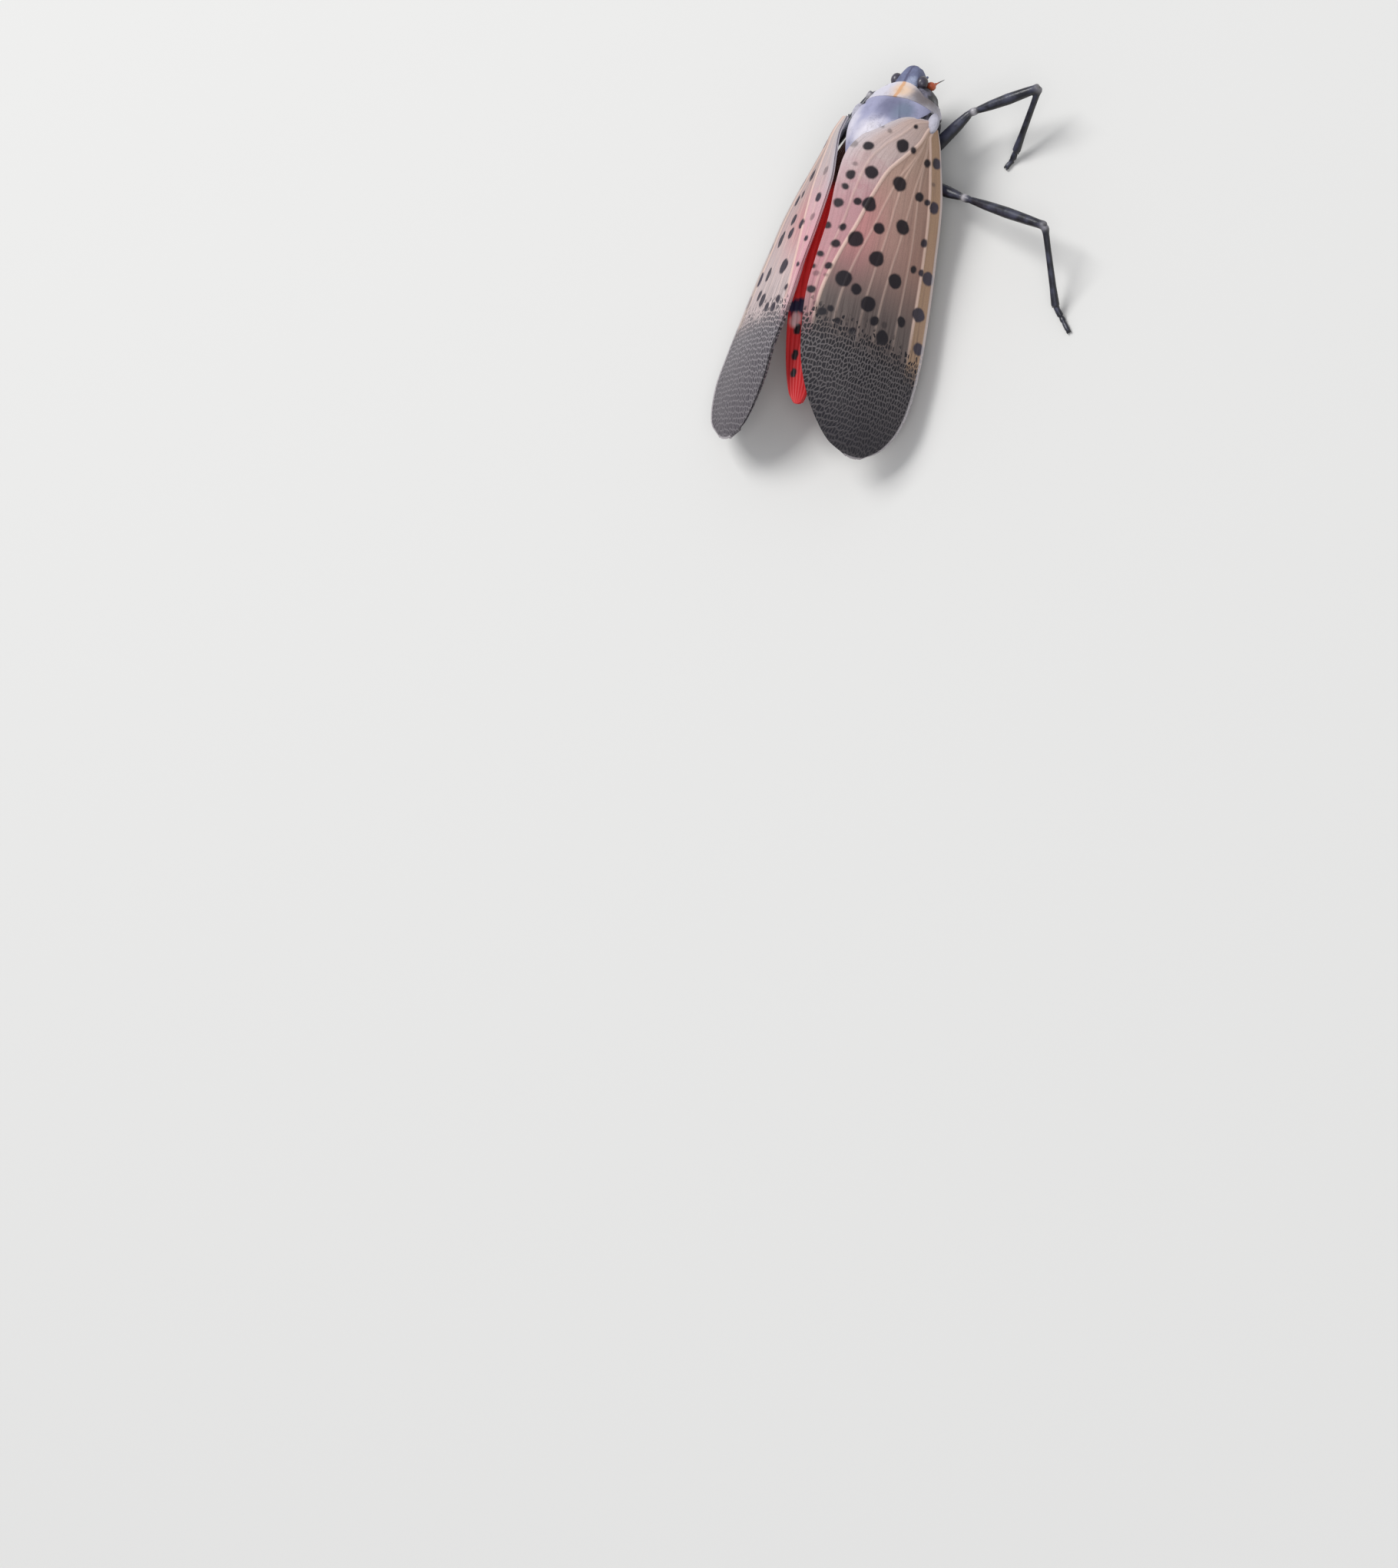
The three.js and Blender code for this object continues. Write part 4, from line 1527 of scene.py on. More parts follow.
@dataclass(frozen=True)
class Pronotum(BackPlate):
    """The collar behind the head: bowed front margin, raised rims, a middle keel, two arcs and two pits."""

    name: str = "pronotum_shell"
    slot: Slot = Slot.COLLAR
    finish: Finish = COLLAR_POWDER
    nodes: tuple[str, ...] = ("pronotum",)
    columns: int = 110
    rows: int = 60
    reach: float = math.radians(108)
    keel: float = 0.05
    arc: float = 0.035
    rim: float = 0.04
    pit: float = 0.05
    ground: float = 0.07

    def hind(self, x: float) -> float:
        """Gives the y of the hind margin."""
        return 0.12 - 0.07 * x * x

    def front(self, x: float) -> float:
        """Gives the y of the front margin, which bows forward and stays off the hind one at the sides."""
        return max(1.33 - 0.3 * x * x, self.hind(x) + 0.6)

    def place(self, across: float, along: float) -> Flat:
        """Finds where a point of the plate lies, in three tries, as x and y hang on each other.

        Args:
            across: Its share of the plate's width.
            along: Its share of the plate's length.

        Returns:
            The way around the section, and the y.
        """
        angle = math.pi / 2 + self.reach * (1 - 2 * across) * (1 - 0.07 * (2 * along - 1) ** 2)
        y = 0.7
        for _ in range(3):
            x, _z = section_point(BACK_FORM(y), angle, self.fullness)
            y = self.hind(x) + (self.front(x) - self.hind(x)) * along
        return angle, y

    def relief(self, x: float, y: float) -> float:
        """Works out how far the plate's carving stands out.

        Args:
            x: The way from the midline.
            y: The place along the body.

        Returns:
            The height.
        """
        along = (y - self.hind(x)) / (self.front(x) - self.hind(x))
        keel = self.keel * ridge(x, 0.07)
        arcs = self.arc * ridge(abs(x) - 0.55 - 0.35 * along, 0.07)
        rims = self.rim * (ridge(along, 0.07) + ridge(1 - along, 0.08))
        pits = self.pit * ridge(math.hypot(abs(x) - 0.3, (along - 0.5) * 0.9), 0.14)
        return keel + arcs + rims - pits - self.ground


@dataclass(frozen=True)
class Mesonotum(BackPlate):
    """The powdery shield between the wing roots, ending in the scutellum's point."""

    name: str = "mesonotum_shell"
    slot: Slot = Slot.SHIELD
    finish: Finish = SHIELD_POWDER
    nodes: tuple[str, ...] = ()
    columns: int = 90
    rows: int = 100
    plan: Rows = (
        (-3.03, 0.2), (-2.7, 0.5), (-2.37, 0.8), (-1.71, 1.4),
        (-1.07, 2.0), (-0.45, 2.3), (0.05, 2.33),
    )
    keel: float = 0.05
    groove: float = 0.06
    ground: float = 0.08

    def place(self, across: float, along: float) -> Flat:
        """Finds where a point of the plate lies.

        Args:
            across: Its share of the plate's width.
            along: Its share of the plate's length.

        Returns:
            The way around the section, and the y.
        """
        hind, front = self.plan[0][0], self.plan[-1][0]
        y = hind + (front - hind) * along
        share = min(1.0, float(Profile(self.plan)(y)[0]) / BACK_FORM(y)[0])
        edge = math.acos(share ** (self.fullness / 2))
        return edge + (math.pi - 2 * edge) * (1 - across), y

    def relief(self, x: float, y: float) -> float:
        """Works out how far the plate's carving stands out.

        Args:
            x: The way from the midline.
            y: The place along the body.

        Returns:
            The height.
        """
        middle = self.keel * ridge(x, 0.08) * smooth(-y, 0.0, 0.4)
        side = self.keel * ridge(abs(x) - 0.35 - 0.42 * (-y), 0.08) * smooth(-y, 0.1, 0.3)
        groove = self.groove * ridge(y + 1.9, 0.12) * (1 - smooth(abs(x), 0.5, 0.9))
        return middle + side - groove - self.ground


@dataclass(frozen=True)
class Head:
    """The head capsule: a flat crown between the eyes, and a keeled face that tapers to the beak.

    Each row holds a level, the half width and the front's y there.
    """

    rows: Rows = (
        (1.62, 0.28, 1.53), (2.1, 0.58, 1.93), (2.8, 0.88, 2.28), (3.5, 1.03, 2.53), (4.1, 0.97, 2.72),
        (4.4, 0.87, 2.7), (4.7, 0.82, 2.38), (4.92, 0.74, 1.95), (5.06, 0.48, 1.6),
    )
    back: float = 0.2
    taper: float = 0.26
    fullness: float = 2.8
    sides: int = 96
    levels: int = 64
    keel: float = 0.05
    ground: float = 0.06
    dip: float = 0.06
    ocellus_at: Place = (0.86, 2.16, 3.95)
    ocellus_radius: float = 0.08

    def carve(self, x: float, forward: float, z: float, half: float) -> float:
        """Works out how far the face's keels stand out.

        Args:
            x: The way from the midline.
            forward: 1 on the face, -1 at the nape.
            z: The level.
            half: The head's half width there.

        Returns:
            The height.
        """
        face = smooth(forward, 0.1, 0.5) * smooth(z, 1.7, 2.3) * (1 - 0.8 * smooth(z, 4.1, 4.4))
        keels = ridge(x, 0.05) + ridge(abs(x) - 0.5 * half, 0.05)
        brow = ridge(z - 4.35 - 0.05 * x * x, 0.06)
        return face * self.keel * (keels + brow) - self.ground

    def skin_point(self, angle: float, z: float, half: float, front: float) -> Vector:
        """Finds a point of the head's skin.

        Args:
            angle: The way around, 0 to +X and a quarter turn to the face.
            z: The level, which dips a little in the middle of the crown.
            half: The half width there.
            front: The front's y there.

        Returns:
            The point.
        """
        depth = (front - self.back) / 2
        forward = rounded(math.sin(angle), self.fullness)
        across = rounded(math.cos(angle), self.fullness) * (1 - self.taper * smooth(forward, 0.0, 1.0))
        out = self.carve(across * half, forward, z, half)
        dip = self.dip * smooth(z, 4.4, 5.0) * ridge(across * half, 0.3)
        return Vector((across * (half + out), self.back + depth + forward * (depth + out), z - dip))

    def build(self) -> Piece:
        """Models the capsule and the two ocelli, dresses them and lets them stand for their node.

        Returns:
            The head.
        """
        profile = Profile(self.rows)
        low, high = self.rows[0][0], self.rows[-1][0]
        sections = []
        for level in np.linspace(0, 1, self.levels):
            z = low + (high - low) * (0.5 - 0.5 * math.cos(math.pi * level))
            sections.append([self.skin_point(angle, z, *profile(z)) for angle in turns(self.sides)])
        forms = [lofted("head_skin", sections)]
        x, y, z = self.ocellus_at
        for side in Side:
            forms.append(ball("ocellus", (side.value * x, y, z), [self.ocellus_radius] * 3, 16, 10))
        return settle(joined("head_skin", forms), HEAD_POWDER, ("head",))


@dataclass(frozen=True)
class HeadOrgans:
    """The eye, the antenna and the tegula of one side, and where they sit."""

    side: Side
    eye_at: Place = (0.88, 1.6, 4.42)
    eye_radii: Place = (0.36, 0.43, 0.4)
    bulb_at: Place = (1.22, 1.68, 3.8)
    bulb_radii: Place = (0.28, 0.26, 0.33)
    stalk_at: Place = (1.02, 1.66, 3.86)
    stalk_radii: Place = (0.22, 0.2, 0.2)
    bristle: Place = (0.4, 0.75, -0.65)
    bristle_radii: Rows = ((0.0, 0.1), (0.33, 0.09), (0.4, 0.05), (0.7, 0.03), (1.0, 0.015))
    tegula_at: Place = (2.6, -1.0, 4.8)
    tegula_radii: Place = (0.36, 0.66, 0.3)
    tegula_keel: float = 0.03

    def on_side(self, at: Sequence[float]) -> Vector:
        """Mirrors a place to this side."""
        return Vector((at[0] * self.side.value, at[1], at[2]))

    def eye(self) -> Piece:
        """Models the compound eye and dresses it."""
        piece = ball(f"eye_ball_{self.side.word}", self.on_side(self.eye_at), self.eye_radii, 64, 40)
        return settle(piece, Lens(), (f"eye_{self.side.word}",))

    def antenna(self) -> Piece:
        """Models the bulb on its short stalk, with the bristle, and dresses them.

        Returns:
            The antenna.
        """
        at = self.on_side(self.bulb_at)
        bulb = ball("bulb", at, self.bulb_radii, 48, 32)
        stalk = ball("stalk", self.on_side(self.stalk_at), self.stalk_radii, 24, 16)
        hair = limb("hair", bone(at, at + self.on_side(self.bristle), self.bristle_radii), 10)
        piece = joined(f"antenna_form_{self.side.word}", [bulb, stalk, hair])
        return settle(piece, Bulb(), (f"antenna_{self.side.word}",))

    def tegula(self) -> Piece:
        """Models the small scale over the forewing's root, with a keel along it, and dresses it.

        Returns:
            The tegula.
        """
        at = self.on_side(self.tegula_at)

        def keel(co: Vector) -> Vector:
            """Raises a point that lies near the keel's line."""
            return co + (co - at).normalized() * self.tegula_keel * ridge(co.z - at.z - 0.15, 0.08)

        piece = ball(f"tegula_form_{self.side.word}", at, self.tegula_radii, 48, 32)
        move_points(piece, keel)
        return settle(piece, TEGULA_POWDER, (f"tegula_{self.side.word}",))


@dataclass(frozen=True)
class Beak:
    """The sucking beak, folded back along the breast, with three joints in it."""

    path: Rows = ((0, 1.3, 1.1), (0, 0.6, 0.85), (0, -1.4, 0.7), (0, -3.6, 0.6))
    radii: Rows = ((0.0, 0.21), (0.3, 0.2), (0.62, 0.16), (1.0, 0.07))
    joints: Rows = ((0.3, 0.03), (0.62, 0.03), (0.85, 0.02))
    joint_depth: float = 0.03
    rings: int = 41

    def build(self) -> Piece:
        """Models the beak, dresses it and lets it stand for its node.

        Returns:
            The beak.
        """
        rail, radius = Rail(self.path), Profile(self.radii)
        rings = []
        for t in np.linspace(0, 1, self.rings):
            waist = self.joint_depth * sum(ridge(t - share, width) for share, width in self.joints)
            rings.append(Ring(Vector(rail(t)), float(radius(t)[0]) - waist))
        return settle(limb("beak_form", rings, 20), Chitin(), ("beak",))


# Wings


@dataclass(frozen=True)
class WingHinge:
    """The powdery slope between the shield and the root of the opened left wing."""

    inner: Rows = (
        (-1.6, -0.45, 5.52),
        (-1.15, -1.1, 5.93),
        (-0.65, -1.85, 6.3),
        (-0.25, -2.6, 6.6),
        (-0.8, -3.9, 6.5),
    )
    outer: Rows = (
        (-2.45, -0.95, 5.1),
        (-2.62, -1.6, 5.3),
        (-2.55, -2.4, 5.5),
        (-2.3, -3.3, 5.65),
        (-1.9, -4.4, 5.8),
    )
    swell: float = 0.18
    fold: float = 0.03
    outward: Place = (-0.5, 0.0, 0.8)
    columns: int = 30
    rows: int = 50
    thickness: float = 0.15

    def laid(self, co: Vector) -> Vector:
        """Moves a point of a flat unit grid to its place on the slope, which swells and folds softly.

        Args:
            co: The point.

        Returns:
            Its place.
        """
        v, t = co.x + 0.5, co.y + 0.5
        inner, outer = Rail(self.inner)(t), Rail(self.outer)(t)
        fold = self.fold * math.sin(3 * math.pi * v) * math.sin(math.pi * t)
        out = Vector(self.outward) * (fold + self.swell * math.sin(math.pi * v))
        return Vector(inner * (1 - v) + outer * v) + out

    def build(self) -> Piece:
        """Models the slope between its two edges and dresses it.

        Returns:
            The slope.
        """
        piece = sheet_grid("wing_hinge_left", self.columns, self.rows)
        move_points(piece, self.laid)
        finish_form(piece, "SOLIDIFY", thickness=self.thickness, offset=0.0)
        return settle(piece, SHIELD_POWDER, ("thorax",))


# Each row holds a point of a wing's inner margin and the point across from it on the outer one.
RIGHT_MARGINS = (
    (2.25, -0.8, 5.0, 2.8, -1.2, 4.3),
    (1.2, -1.25, 6.25, 3.0, -2.0, 3.8),
    (0.45, -2.1, 6.95, 3.15, -2.95, 3.3),
    (-0.6, -3.1, 7.35, 3.4, -4.1, 2.9),
    (-1.3, -4.3, 7.35, 3.65, -5.3, 2.6),
    (-1.3, -6.3, 7.5, 3.8, -6.8, 2.2),
    (-1.1, -8.6, 7.5, 3.95, -8.4, 1.9),
    (-1.2, -10.8, 7.4, 4.2, -10.3, 1.7),
    (-1.3, -13.0, 7.2, 4.55, -12.8, 1.6),
    (-1.1, -15.2, 6.9, 4.85, -15.2, 1.6),
    (-0.75, -17.2, 6.4, 4.95, -17.3, 1.6),
    (-0.2, -18.8, 5.8, 4.9, -18.8, 1.7),
    (0.5, -20.2, 5.0, 4.6, -20.0, 1.8),
    (1.3, -21.3, 4.05, 4.0, -21.05, 2.0),
    (2.25, -22.0, 2.9, 3.0, -21.95, 2.4),
)
LEFT_MARGINS = (
    (-2.85, -1.45, 5.6, -3.5, -1.4, 5.05),
    (-2.8, -2.7, 6.05, -4.1, -2.1, 4.6),
    (-2.4, -4.25, 6.45, -4.8, -3.2, 3.9),
    (-2.05, -5.7, 6.7, -5.85, -4.75, 2.9),
    (-2.0, -7.1, 6.8, -6.6, -6.1, 2.3),
    (-2.1, -9.2, 6.8, -7.2, -7.7, 1.9),
    (-2.25, -11.1, 6.8, -7.55, -9.5, 1.7),
    (-2.4, -13.1, 6.7, -7.85, -11.2, 1.6),
    (-2.6, -14.9, 6.5, -8.2, -13.8, 1.5),
    (-2.95, -16.7, 6.2, -8.5, -16.8, 1.5),
    (-3.35, -18.8, 5.4, -8.55, -18.8, 1.6),
    (-4.45, -21.25, 4.1, -7.85, -21.1, 2.1),
    (-5.7, -22.25, 3.15, -6.7, -22.2, 2.6),
)
RIGHT_HIND_MARGINS = (
    (0.3, -5.05, 5.5, 1.45, -5.05, 4.9),
    (0.1, -7.0, 5.6, 1.85, -7.0, 4.6),
    (0.0, -10.0, 5.35, 1.9, -10.0, 4.15),
    (0.0, -13.5, 4.9, 1.9, -13.5, 3.75),
    (0.2, -16.0, 4.5, 1.7, -16.0, 3.5),
    (0.6, -17.6, 4.1, 1.3, -17.5, 3.6),
)
LEFT_HIND_MARGINS = (
    (-2.2, -2.65, 5.15, -3.1, -2.3, 4.4),
    (-1.7, -4.1, 5.4, -3.7, -3.75, 4.1),
    (-0.9, -5.6, 5.6, -4.0, -5.5, 3.9),
    (-0.5, -8.0, 5.6, -4.2, -8.0, 3.9),
    (-0.5, -11.0, 5.4, -4.2, -11.0, 3.9),
    (-0.5, -14.0, 5.1, -3.8, -14.0, 3.8),
    (-0.6, -16.8, 4.7, -3.1, -16.8, 3.7),
    (-0.8, -18.7, 4.2, -2.4, -18.6, 3.7),
    (-1.1, -19.5, 4.0, -1.9, -19.4, 3.8),
)


@dataclass(frozen=True)
class WingSurface:
    """The smooth surface between a wing's two margins, crowned across.

    Shares run from the root to the tip (t) and from the inner to the outer margin (v).
    """

    margins: Rows
    crown: float
    side: Side
    step: float = 1e-3

    @cached_property
    def rails(self) -> tuple[Rail, Rail]:
        """The inner and the outer margin."""
        return Rail([row[:3] for row in self.margins]), Rail([row[3:] for row in self.margins])

    def section(self, t: float) -> Section:
        """Finds a cross-section of the surface.

        Args:
            t: The share of the length, which past an end counts as that end.

        Returns:
            The inner edge, the chord and the way of the crown.
        """
        start, end = (rail(min(1.0, max(0.0, t))) for rail in self.rails)
        chord = end - start
        out = np.cross((0, -1, 0), chord) * self.side.value
        return start, chord, out / np.linalg.norm(out)

    def point(self, section: Section, v: float) -> np.ndarray:
        """Finds a point of a cross-section.

        Args:
            section: The inner edge, the chord and the way of the crown.
            v: The share of the width.

        Returns:
            The point.
        """
        start, chord, out = section
        bow = self.crown * np.linalg.norm(chord) / 8 * math.sin(math.pi * v**0.75)
        return start + chord * v + out * bow

    def raised(self, t: float, lanes: Sequence[float], rises: Sequence[float]) -> list[np.ndarray]:
        """Lays one row of points, raised off the surface.

        Args:
            t: The row's share of the length.
            lanes: The points' shares of the width.
            rises: How far each point stands off.

        Returns:
            The points.
        """
        back, here, on = (self.section(t + shift) for shift in (-self.step, 0.0, self.step))
        points = []
        for v, rise in zip(lanes, rises, strict=True):
            low, high = max(0.0, v - self.step), min(1.0, v + self.step)
            along = self.point(on, v) - self.point(back, v)
            across = self.point(here, high) - self.point(here, low)
            normal = np.cross(along, across) * self.side.value
            points.append(self.point(here, v) + normal / np.linalg.norm(normal) * rise)
        return points


@dataclass(frozen=True)
class Wing:
    """What both kinds of wing share: a thin sheet laid on a surface, in rows from the root to the tip."""

    surface: WingSurface
    finish: Finish
    kind: str
    slot: Slot
    rows: int
    thickness: float
    below: float
    tip_round: float
    tip_start: float = 0.93
    sharp: float = 50.0

    def lanes(self, t: float) -> list[float]:
        """Lists the columns' shares of the width at a share of the length."""
        raise NotImplementedError

    def carving(self, v: float, t: float, width: float) -> dict[str, float]:
        """Works out how far the skin rises at two shares, with any values for the finish to read."""
        raise NotImplementedError

    def build(self) -> Piece:
        """Models the wing, maps it by its shares, dresses it and lets it stand for its node.

        Returns:
            The wing.
        """
        word = self.surface.side.word
        places, points, carvings = [], [], []
        for t in np.linspace(0, 1, self.rows):
            lanes = self.lanes(t)
            width = float(np.linalg.norm(self.surface.section(t)[1]))
            row = [self.carving(v, t, width) for v in lanes]
            places += [(v, t) for v in lanes]
            points += self.surface.raised(t, lanes, [carving["rise"] - self.below for carving in row])
            carvings += row
        piece = sheet_grid(f"{self.kind}_sheet_{word}", len(points) // self.rows, self.rows)
        for vertex, point, (v, t) in zip(piece.data.vertices, points, places, strict=True):
            point[1] += self.tip_round * smooth(t, self.tip_start, 1.0) * (2 * v - 1) ** 2
            vertex.co = point
        layer = piece.data.uv_layers.active.data
        for loop in piece.data.loops:
            layer[loop.index].uv = places[loop.vertex_index]
        for name in carvings[0]:
            mark(piece, name, [carving[name] for carving in carvings])
        finish_form(piece, "SOLIDIFY", thickness=self.thickness, offset=-self.surface.side.value)
        return settle(piece, self.finish, (f"{self.kind}_{word}",), self.sharp)


@dataclass(frozen=True)
class Forewing(Wing):
    """A leathery forewing with its main veins standing up as ridges."""

    kind: str = "forewing"
    slot: Slot = Slot.WING
    rows: int = 120
    thickness: float = 0.12
    below: float = 0.19
    tip_round: float = 0.13
    lane_columns: int = 12
    vein_height: float = 0.07
    vein_width: float = 0.05
    faint_vein: float = 0.4
    forks: Rows = ((0.3, -0.12), (0.33, 0.1), (0.66, -0.06), (0.69, 0.13))
    fork_reach: Span = (0.12, 0.55)
    lip: float = 0.05
    lip_width: float = 0.12
    seam: float = 0.004

    def suture(self, t: float) -> float:
        """Gives the share of the width at which the clavus ends."""
        return 0.05 + 0.52 * math.exp(-((t / 0.4) ** 2.6))

    def costal(self, t: float) -> float:
        """Gives the share of the width at which the costal cell starts."""
        return max(0.87 - 0.33 * math.exp(-((t / 0.13) ** 1.4)), self.suture(t) + 0.12)

    def veins(self, t: float) -> list[float]:
        """Lists the main veins' shares of the width, from the clavus to the costal cell.

        Args:
            t: The share of the length.

        Returns:
            The shares, rising.
        """
        suture, costal = self.suture(t), self.costal(t)
        spread = smooth(t, *self.fork_reach)
        forks = [suture + (costal - suture) * (base + move * spread) for base, move in self.forks]
        return [suture / 2, suture, *forks, costal]

    def lanes(self, t: float) -> list[float]:
        """Lists the columns' shares of the width, closer together at the veins.

        Args:
            t: The share of the length.

        Returns:
            The shares, rising.
        """
        lines = [0.0, *self.veins(t), 1.0]
        shares = [0.5 - 0.5 * math.cos(math.pi * i / self.lane_columns) for i in range(self.lane_columns)]
        pairs = zip(lines, lines[1:])
        return [low + (high - low) * share for low, high in pairs for share in shares] + [1.0]

    def carving(self, v: float, t: float, width: float) -> dict[str, float]:
        """Works out the veins' ridges and the thick margins, and which part of the wing a point is in.

        Args:
            v: The share of the width.
            t: The share of the length.
            width: The wing's width there.

        Returns:
            How far the skin rises, and how much it is vein, clavus and costal cell.
        """
        lines = self.veins(t)
        nearest = min(range(len(lines)), key=lambda i: abs(v - lines[i]))
        power = 1.0 if nearest in (1, len(lines) - 1) else self.faint_vein
        near = abs(v - lines[nearest]) * width
        crest = ridge(near, self.vein_width) * (1 - 0.75 * smooth(t, 0.58, 0.72)) * power
        lips = ridge(v * width, self.lip_width) + ridge((1 - v) * width, self.lip_width)
        return {
            "rise": self.vein_height * crest + self.lip * lips,
            "vein": ridge(near, 0.035 + 0.02 * power) * power * (1 - smooth(t, 0.56, 0.68)),
            "clavus": smooth(lines[1] - v, -self.seam, self.seam),
            "costal": smooth(v - lines[-1], -self.seam, self.seam),
        }


@dataclass(frozen=True)
class Hindwing(Wing):
    """A folded scarlet hindwing under the forewing, pleated like a fan."""

    finish: Finish = Membrane()
    kind: str = "hindwing"
    slot: Slot = Slot.HINDWING
    rows: int = 90
    thickness: float = 0.08
    below: float = 0.12
    tip_round: float = 0.25
    sharp: float = 70.0
    columns: int = 121
    pleats: int = 7
    pleat_depth: float = 0.1
    pleat_start: Span = (0.0, 0.2)

    def lanes(self, t: float) -> list[float]:
        """Lists the columns' shares of the width, which are even."""
        return list(np.linspace(0, 1, self.columns))

    def carving(self, v: float, t: float, width: float) -> dict[str, float]:
        """Works out how far the pleats rise at shares of the width and the length."""
        pleat = math.cos(2 * math.pi * self.pleats * v) * smooth(t, *self.pleat_start)
        return {"rise": self.pleat_depth * pleat}


# Legs


def beside(way: Vector) -> Vector:
    """Gives the level way at right angles to another."""
    return Vector((way.y, -way.x, 0)).normalized()


@dataclass(frozen=True)
class Leg:
    """One leg, in one skin from the coxa to the claws.

    Its joints are the root, the hip, the knee, the ankle, the sole and the toe.
    """

    pair: Pair
    side: Side
    joints: Rows
    coxa: Rows = ((0.0, 0.36), (0.25, 0.41), (0.7, 0.36), (0.94, 0.26), (1.0, 0.2))
    trochanter: Rows = ((0.0, 0.2), (0.03, 0.26), (0.07, 0.25), (0.1, 0.2))
    femur: Rows = (
        (0.08, 0.18), (0.12, 0.22), (0.3, 0.3), (0.55, 0.35),
        (0.8, 0.31), (0.93, 0.27), (0.98, 0.29), (1.0, 0.24),
    )
    tibia: Rows = (
        (0.0, 0.2), (0.04, 0.25), (0.1, 0.2), (0.3, 0.19),
        (0.75, 0.21), (0.93, 0.25), (0.99, 0.26), (1.0, 0.2),
    )
    tarsus: Rows = ((0.0, 0.16), (0.45, 0.19), (0.9, 0.2))
    tarsomeres: Rows = ((0.0, 0.36, 0.18), (0.34, 1.0, 0.16))
    spine: Rows = ((0.0, 0.13), (0.4, 0.1), (0.8, 0.05), (1.0, 0.015))
    spine_way: Place = (0.8, -0.45, -0.25)
    spine_length: float = 0.72
    spine_count: int = 5
    comb: Rows = ((0.0, 0.07), (0.6, 0.045), (1.0, 0.01))
    comb_length: float = 0.26
    voxel: float = 0.042

    @property
    def name(self) -> str:
        """The leg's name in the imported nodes."""
        return f"{self.pair.value}_{self.side.word}"

    @property
    def points(self) -> list[Vector]:
        """The joints' places."""
        return [Vector(joint) for joint in self.joints]

    def segments(self) -> list[Piece]:
        """Models the leg's segments, each run a little into the next.

        Returns:
            The segments.
        """
        root, hip, knee, ankle, sole, toe = self.points
        pieces = [
            limb("coxa", bone(root, hip, self.coxa), 20),
            limb("trochanter", bone(hip, knee, self.trochanter), 20),
            limb("femur", bone(hip, knee, self.femur), 20),
            limb("tibia", bone(knee, ankle, self.tibia), 20),
        ]
        lift = Vector((0, 0, 0.03))
        rings = [Ring(ankle.lerp(sole, share) + lift, radius) for share, radius in self.tarsus]
        pieces.append(limb("tarsus", rings, 16))
        for start, end, radius in self.tarsomeres:
            shape = ((0.0, radius * 0.75), (0.2, radius), (0.75, radius), (1.0, radius * 0.7))
            pieces.append(limb("tarsomere", bone(sole.lerp(toe, start), sole.lerp(toe, end), shape), 16))
        return pieces

    def claws(self) -> list[Piece]:
        """Models the two claws and the pad between them.

        Returns:
            The pad and the claws.
        """
        sole, toe = self.points[-2:]
        way = (toe - sole).normalized()
        across = beside(way)
        pieces = [ball("pad", toe - way * 0.06 + Vector((0, 0, -0.11)), (0.13, 0.13, 0.09), 16, 10)]
        for turn in (-1, 1):
            start = toe - way * 0.12 + across * 0.06 * turn
            bend = toe + way * 0.03 + across * 0.1 * turn
            tip = toe + way * 0.1 + across * 0.12 * turn + Vector((0, 0, -0.13))
            pieces.append(limb("claw", [Ring(start, 0.07), Ring(bend, 0.05), Ring(tip, 0.012)], 8))
        return pieces

    def spines(self) -> list[Piece]:
        """Models the comb at the tibia's end and, on a hind leg, the spines along its outer side.

        Returns:
            The spines and the comb's teeth.
        """
        knee, ankle = self.points[2:4]
        pieces = []
        if self.pair is Pair.HIND:
            x, y, z = self.spine_way
            way = Vector((self.side.value * x, y, z)).normalized() * self.spine_length
            for share in np.linspace(0.28, 0.9, self.spine_count):
                start = knee.lerp(ankle, float(share))
                pieces.append(limb("spine", bone(start, start + way, self.spine), 10))
        along = (ankle - knee).normalized()
        across = beside(along)
        for turn in (-1.0, 0.0, 1.0):
            start = ankle - along * 0.12 + across * 0.13 * turn
            way = (along + across * 0.5 * turn + Vector((0, 0, -0.25))).normalized() * self.comb_length
            pieces.append(limb("comb", bone(start, start + way, self.comb), 8))
        return pieces

    def paleness(self, at: Vector) -> float:
        """Works out how pale the skin is: palest at the trochanter, and pale at the knee's fold.

        Args:
            at: A point of the skin.

        Returns:
            The paleness, from 0 to 1.
        """
        hip, knee = self.points[1:3]
        way = (knee - hip).normalized()
        neck = (at - hip).dot(way)
        off = (at - hip - way * neck).length
        trochanter = ridge(neck - 0.28, 0.2) * (1 - smooth(off, 0.35, 0.5))
        return trochanter + 0.45 * ridge((at - knee).length - 0.2, 0.14)

    def build(self) -> Piece:
        """Models the leg, dresses it and lets it stand for its nodes.

        Returns:
            The leg.
        """
        skin = joined(f"{self.name}_skin", self.segments())
        finish_form(skin, "REMESH", mode="VOXEL", voxel_size=self.voxel)
        finish_form(skin, "SMOOTH", factor=0.5, iterations=5)
        skin = joined(f"{self.name}_skin", [skin, *self.claws(), *self.spines()])
        mark(skin, "pale", [self.paleness(vertex.co) for vertex in skin.data.vertices])
        nodes = [f"{self.name}_{segment}" for segment in ("coxa", "femur", "tibia", "tarsus")]
        return settle(skin, Chitin(), nodes)


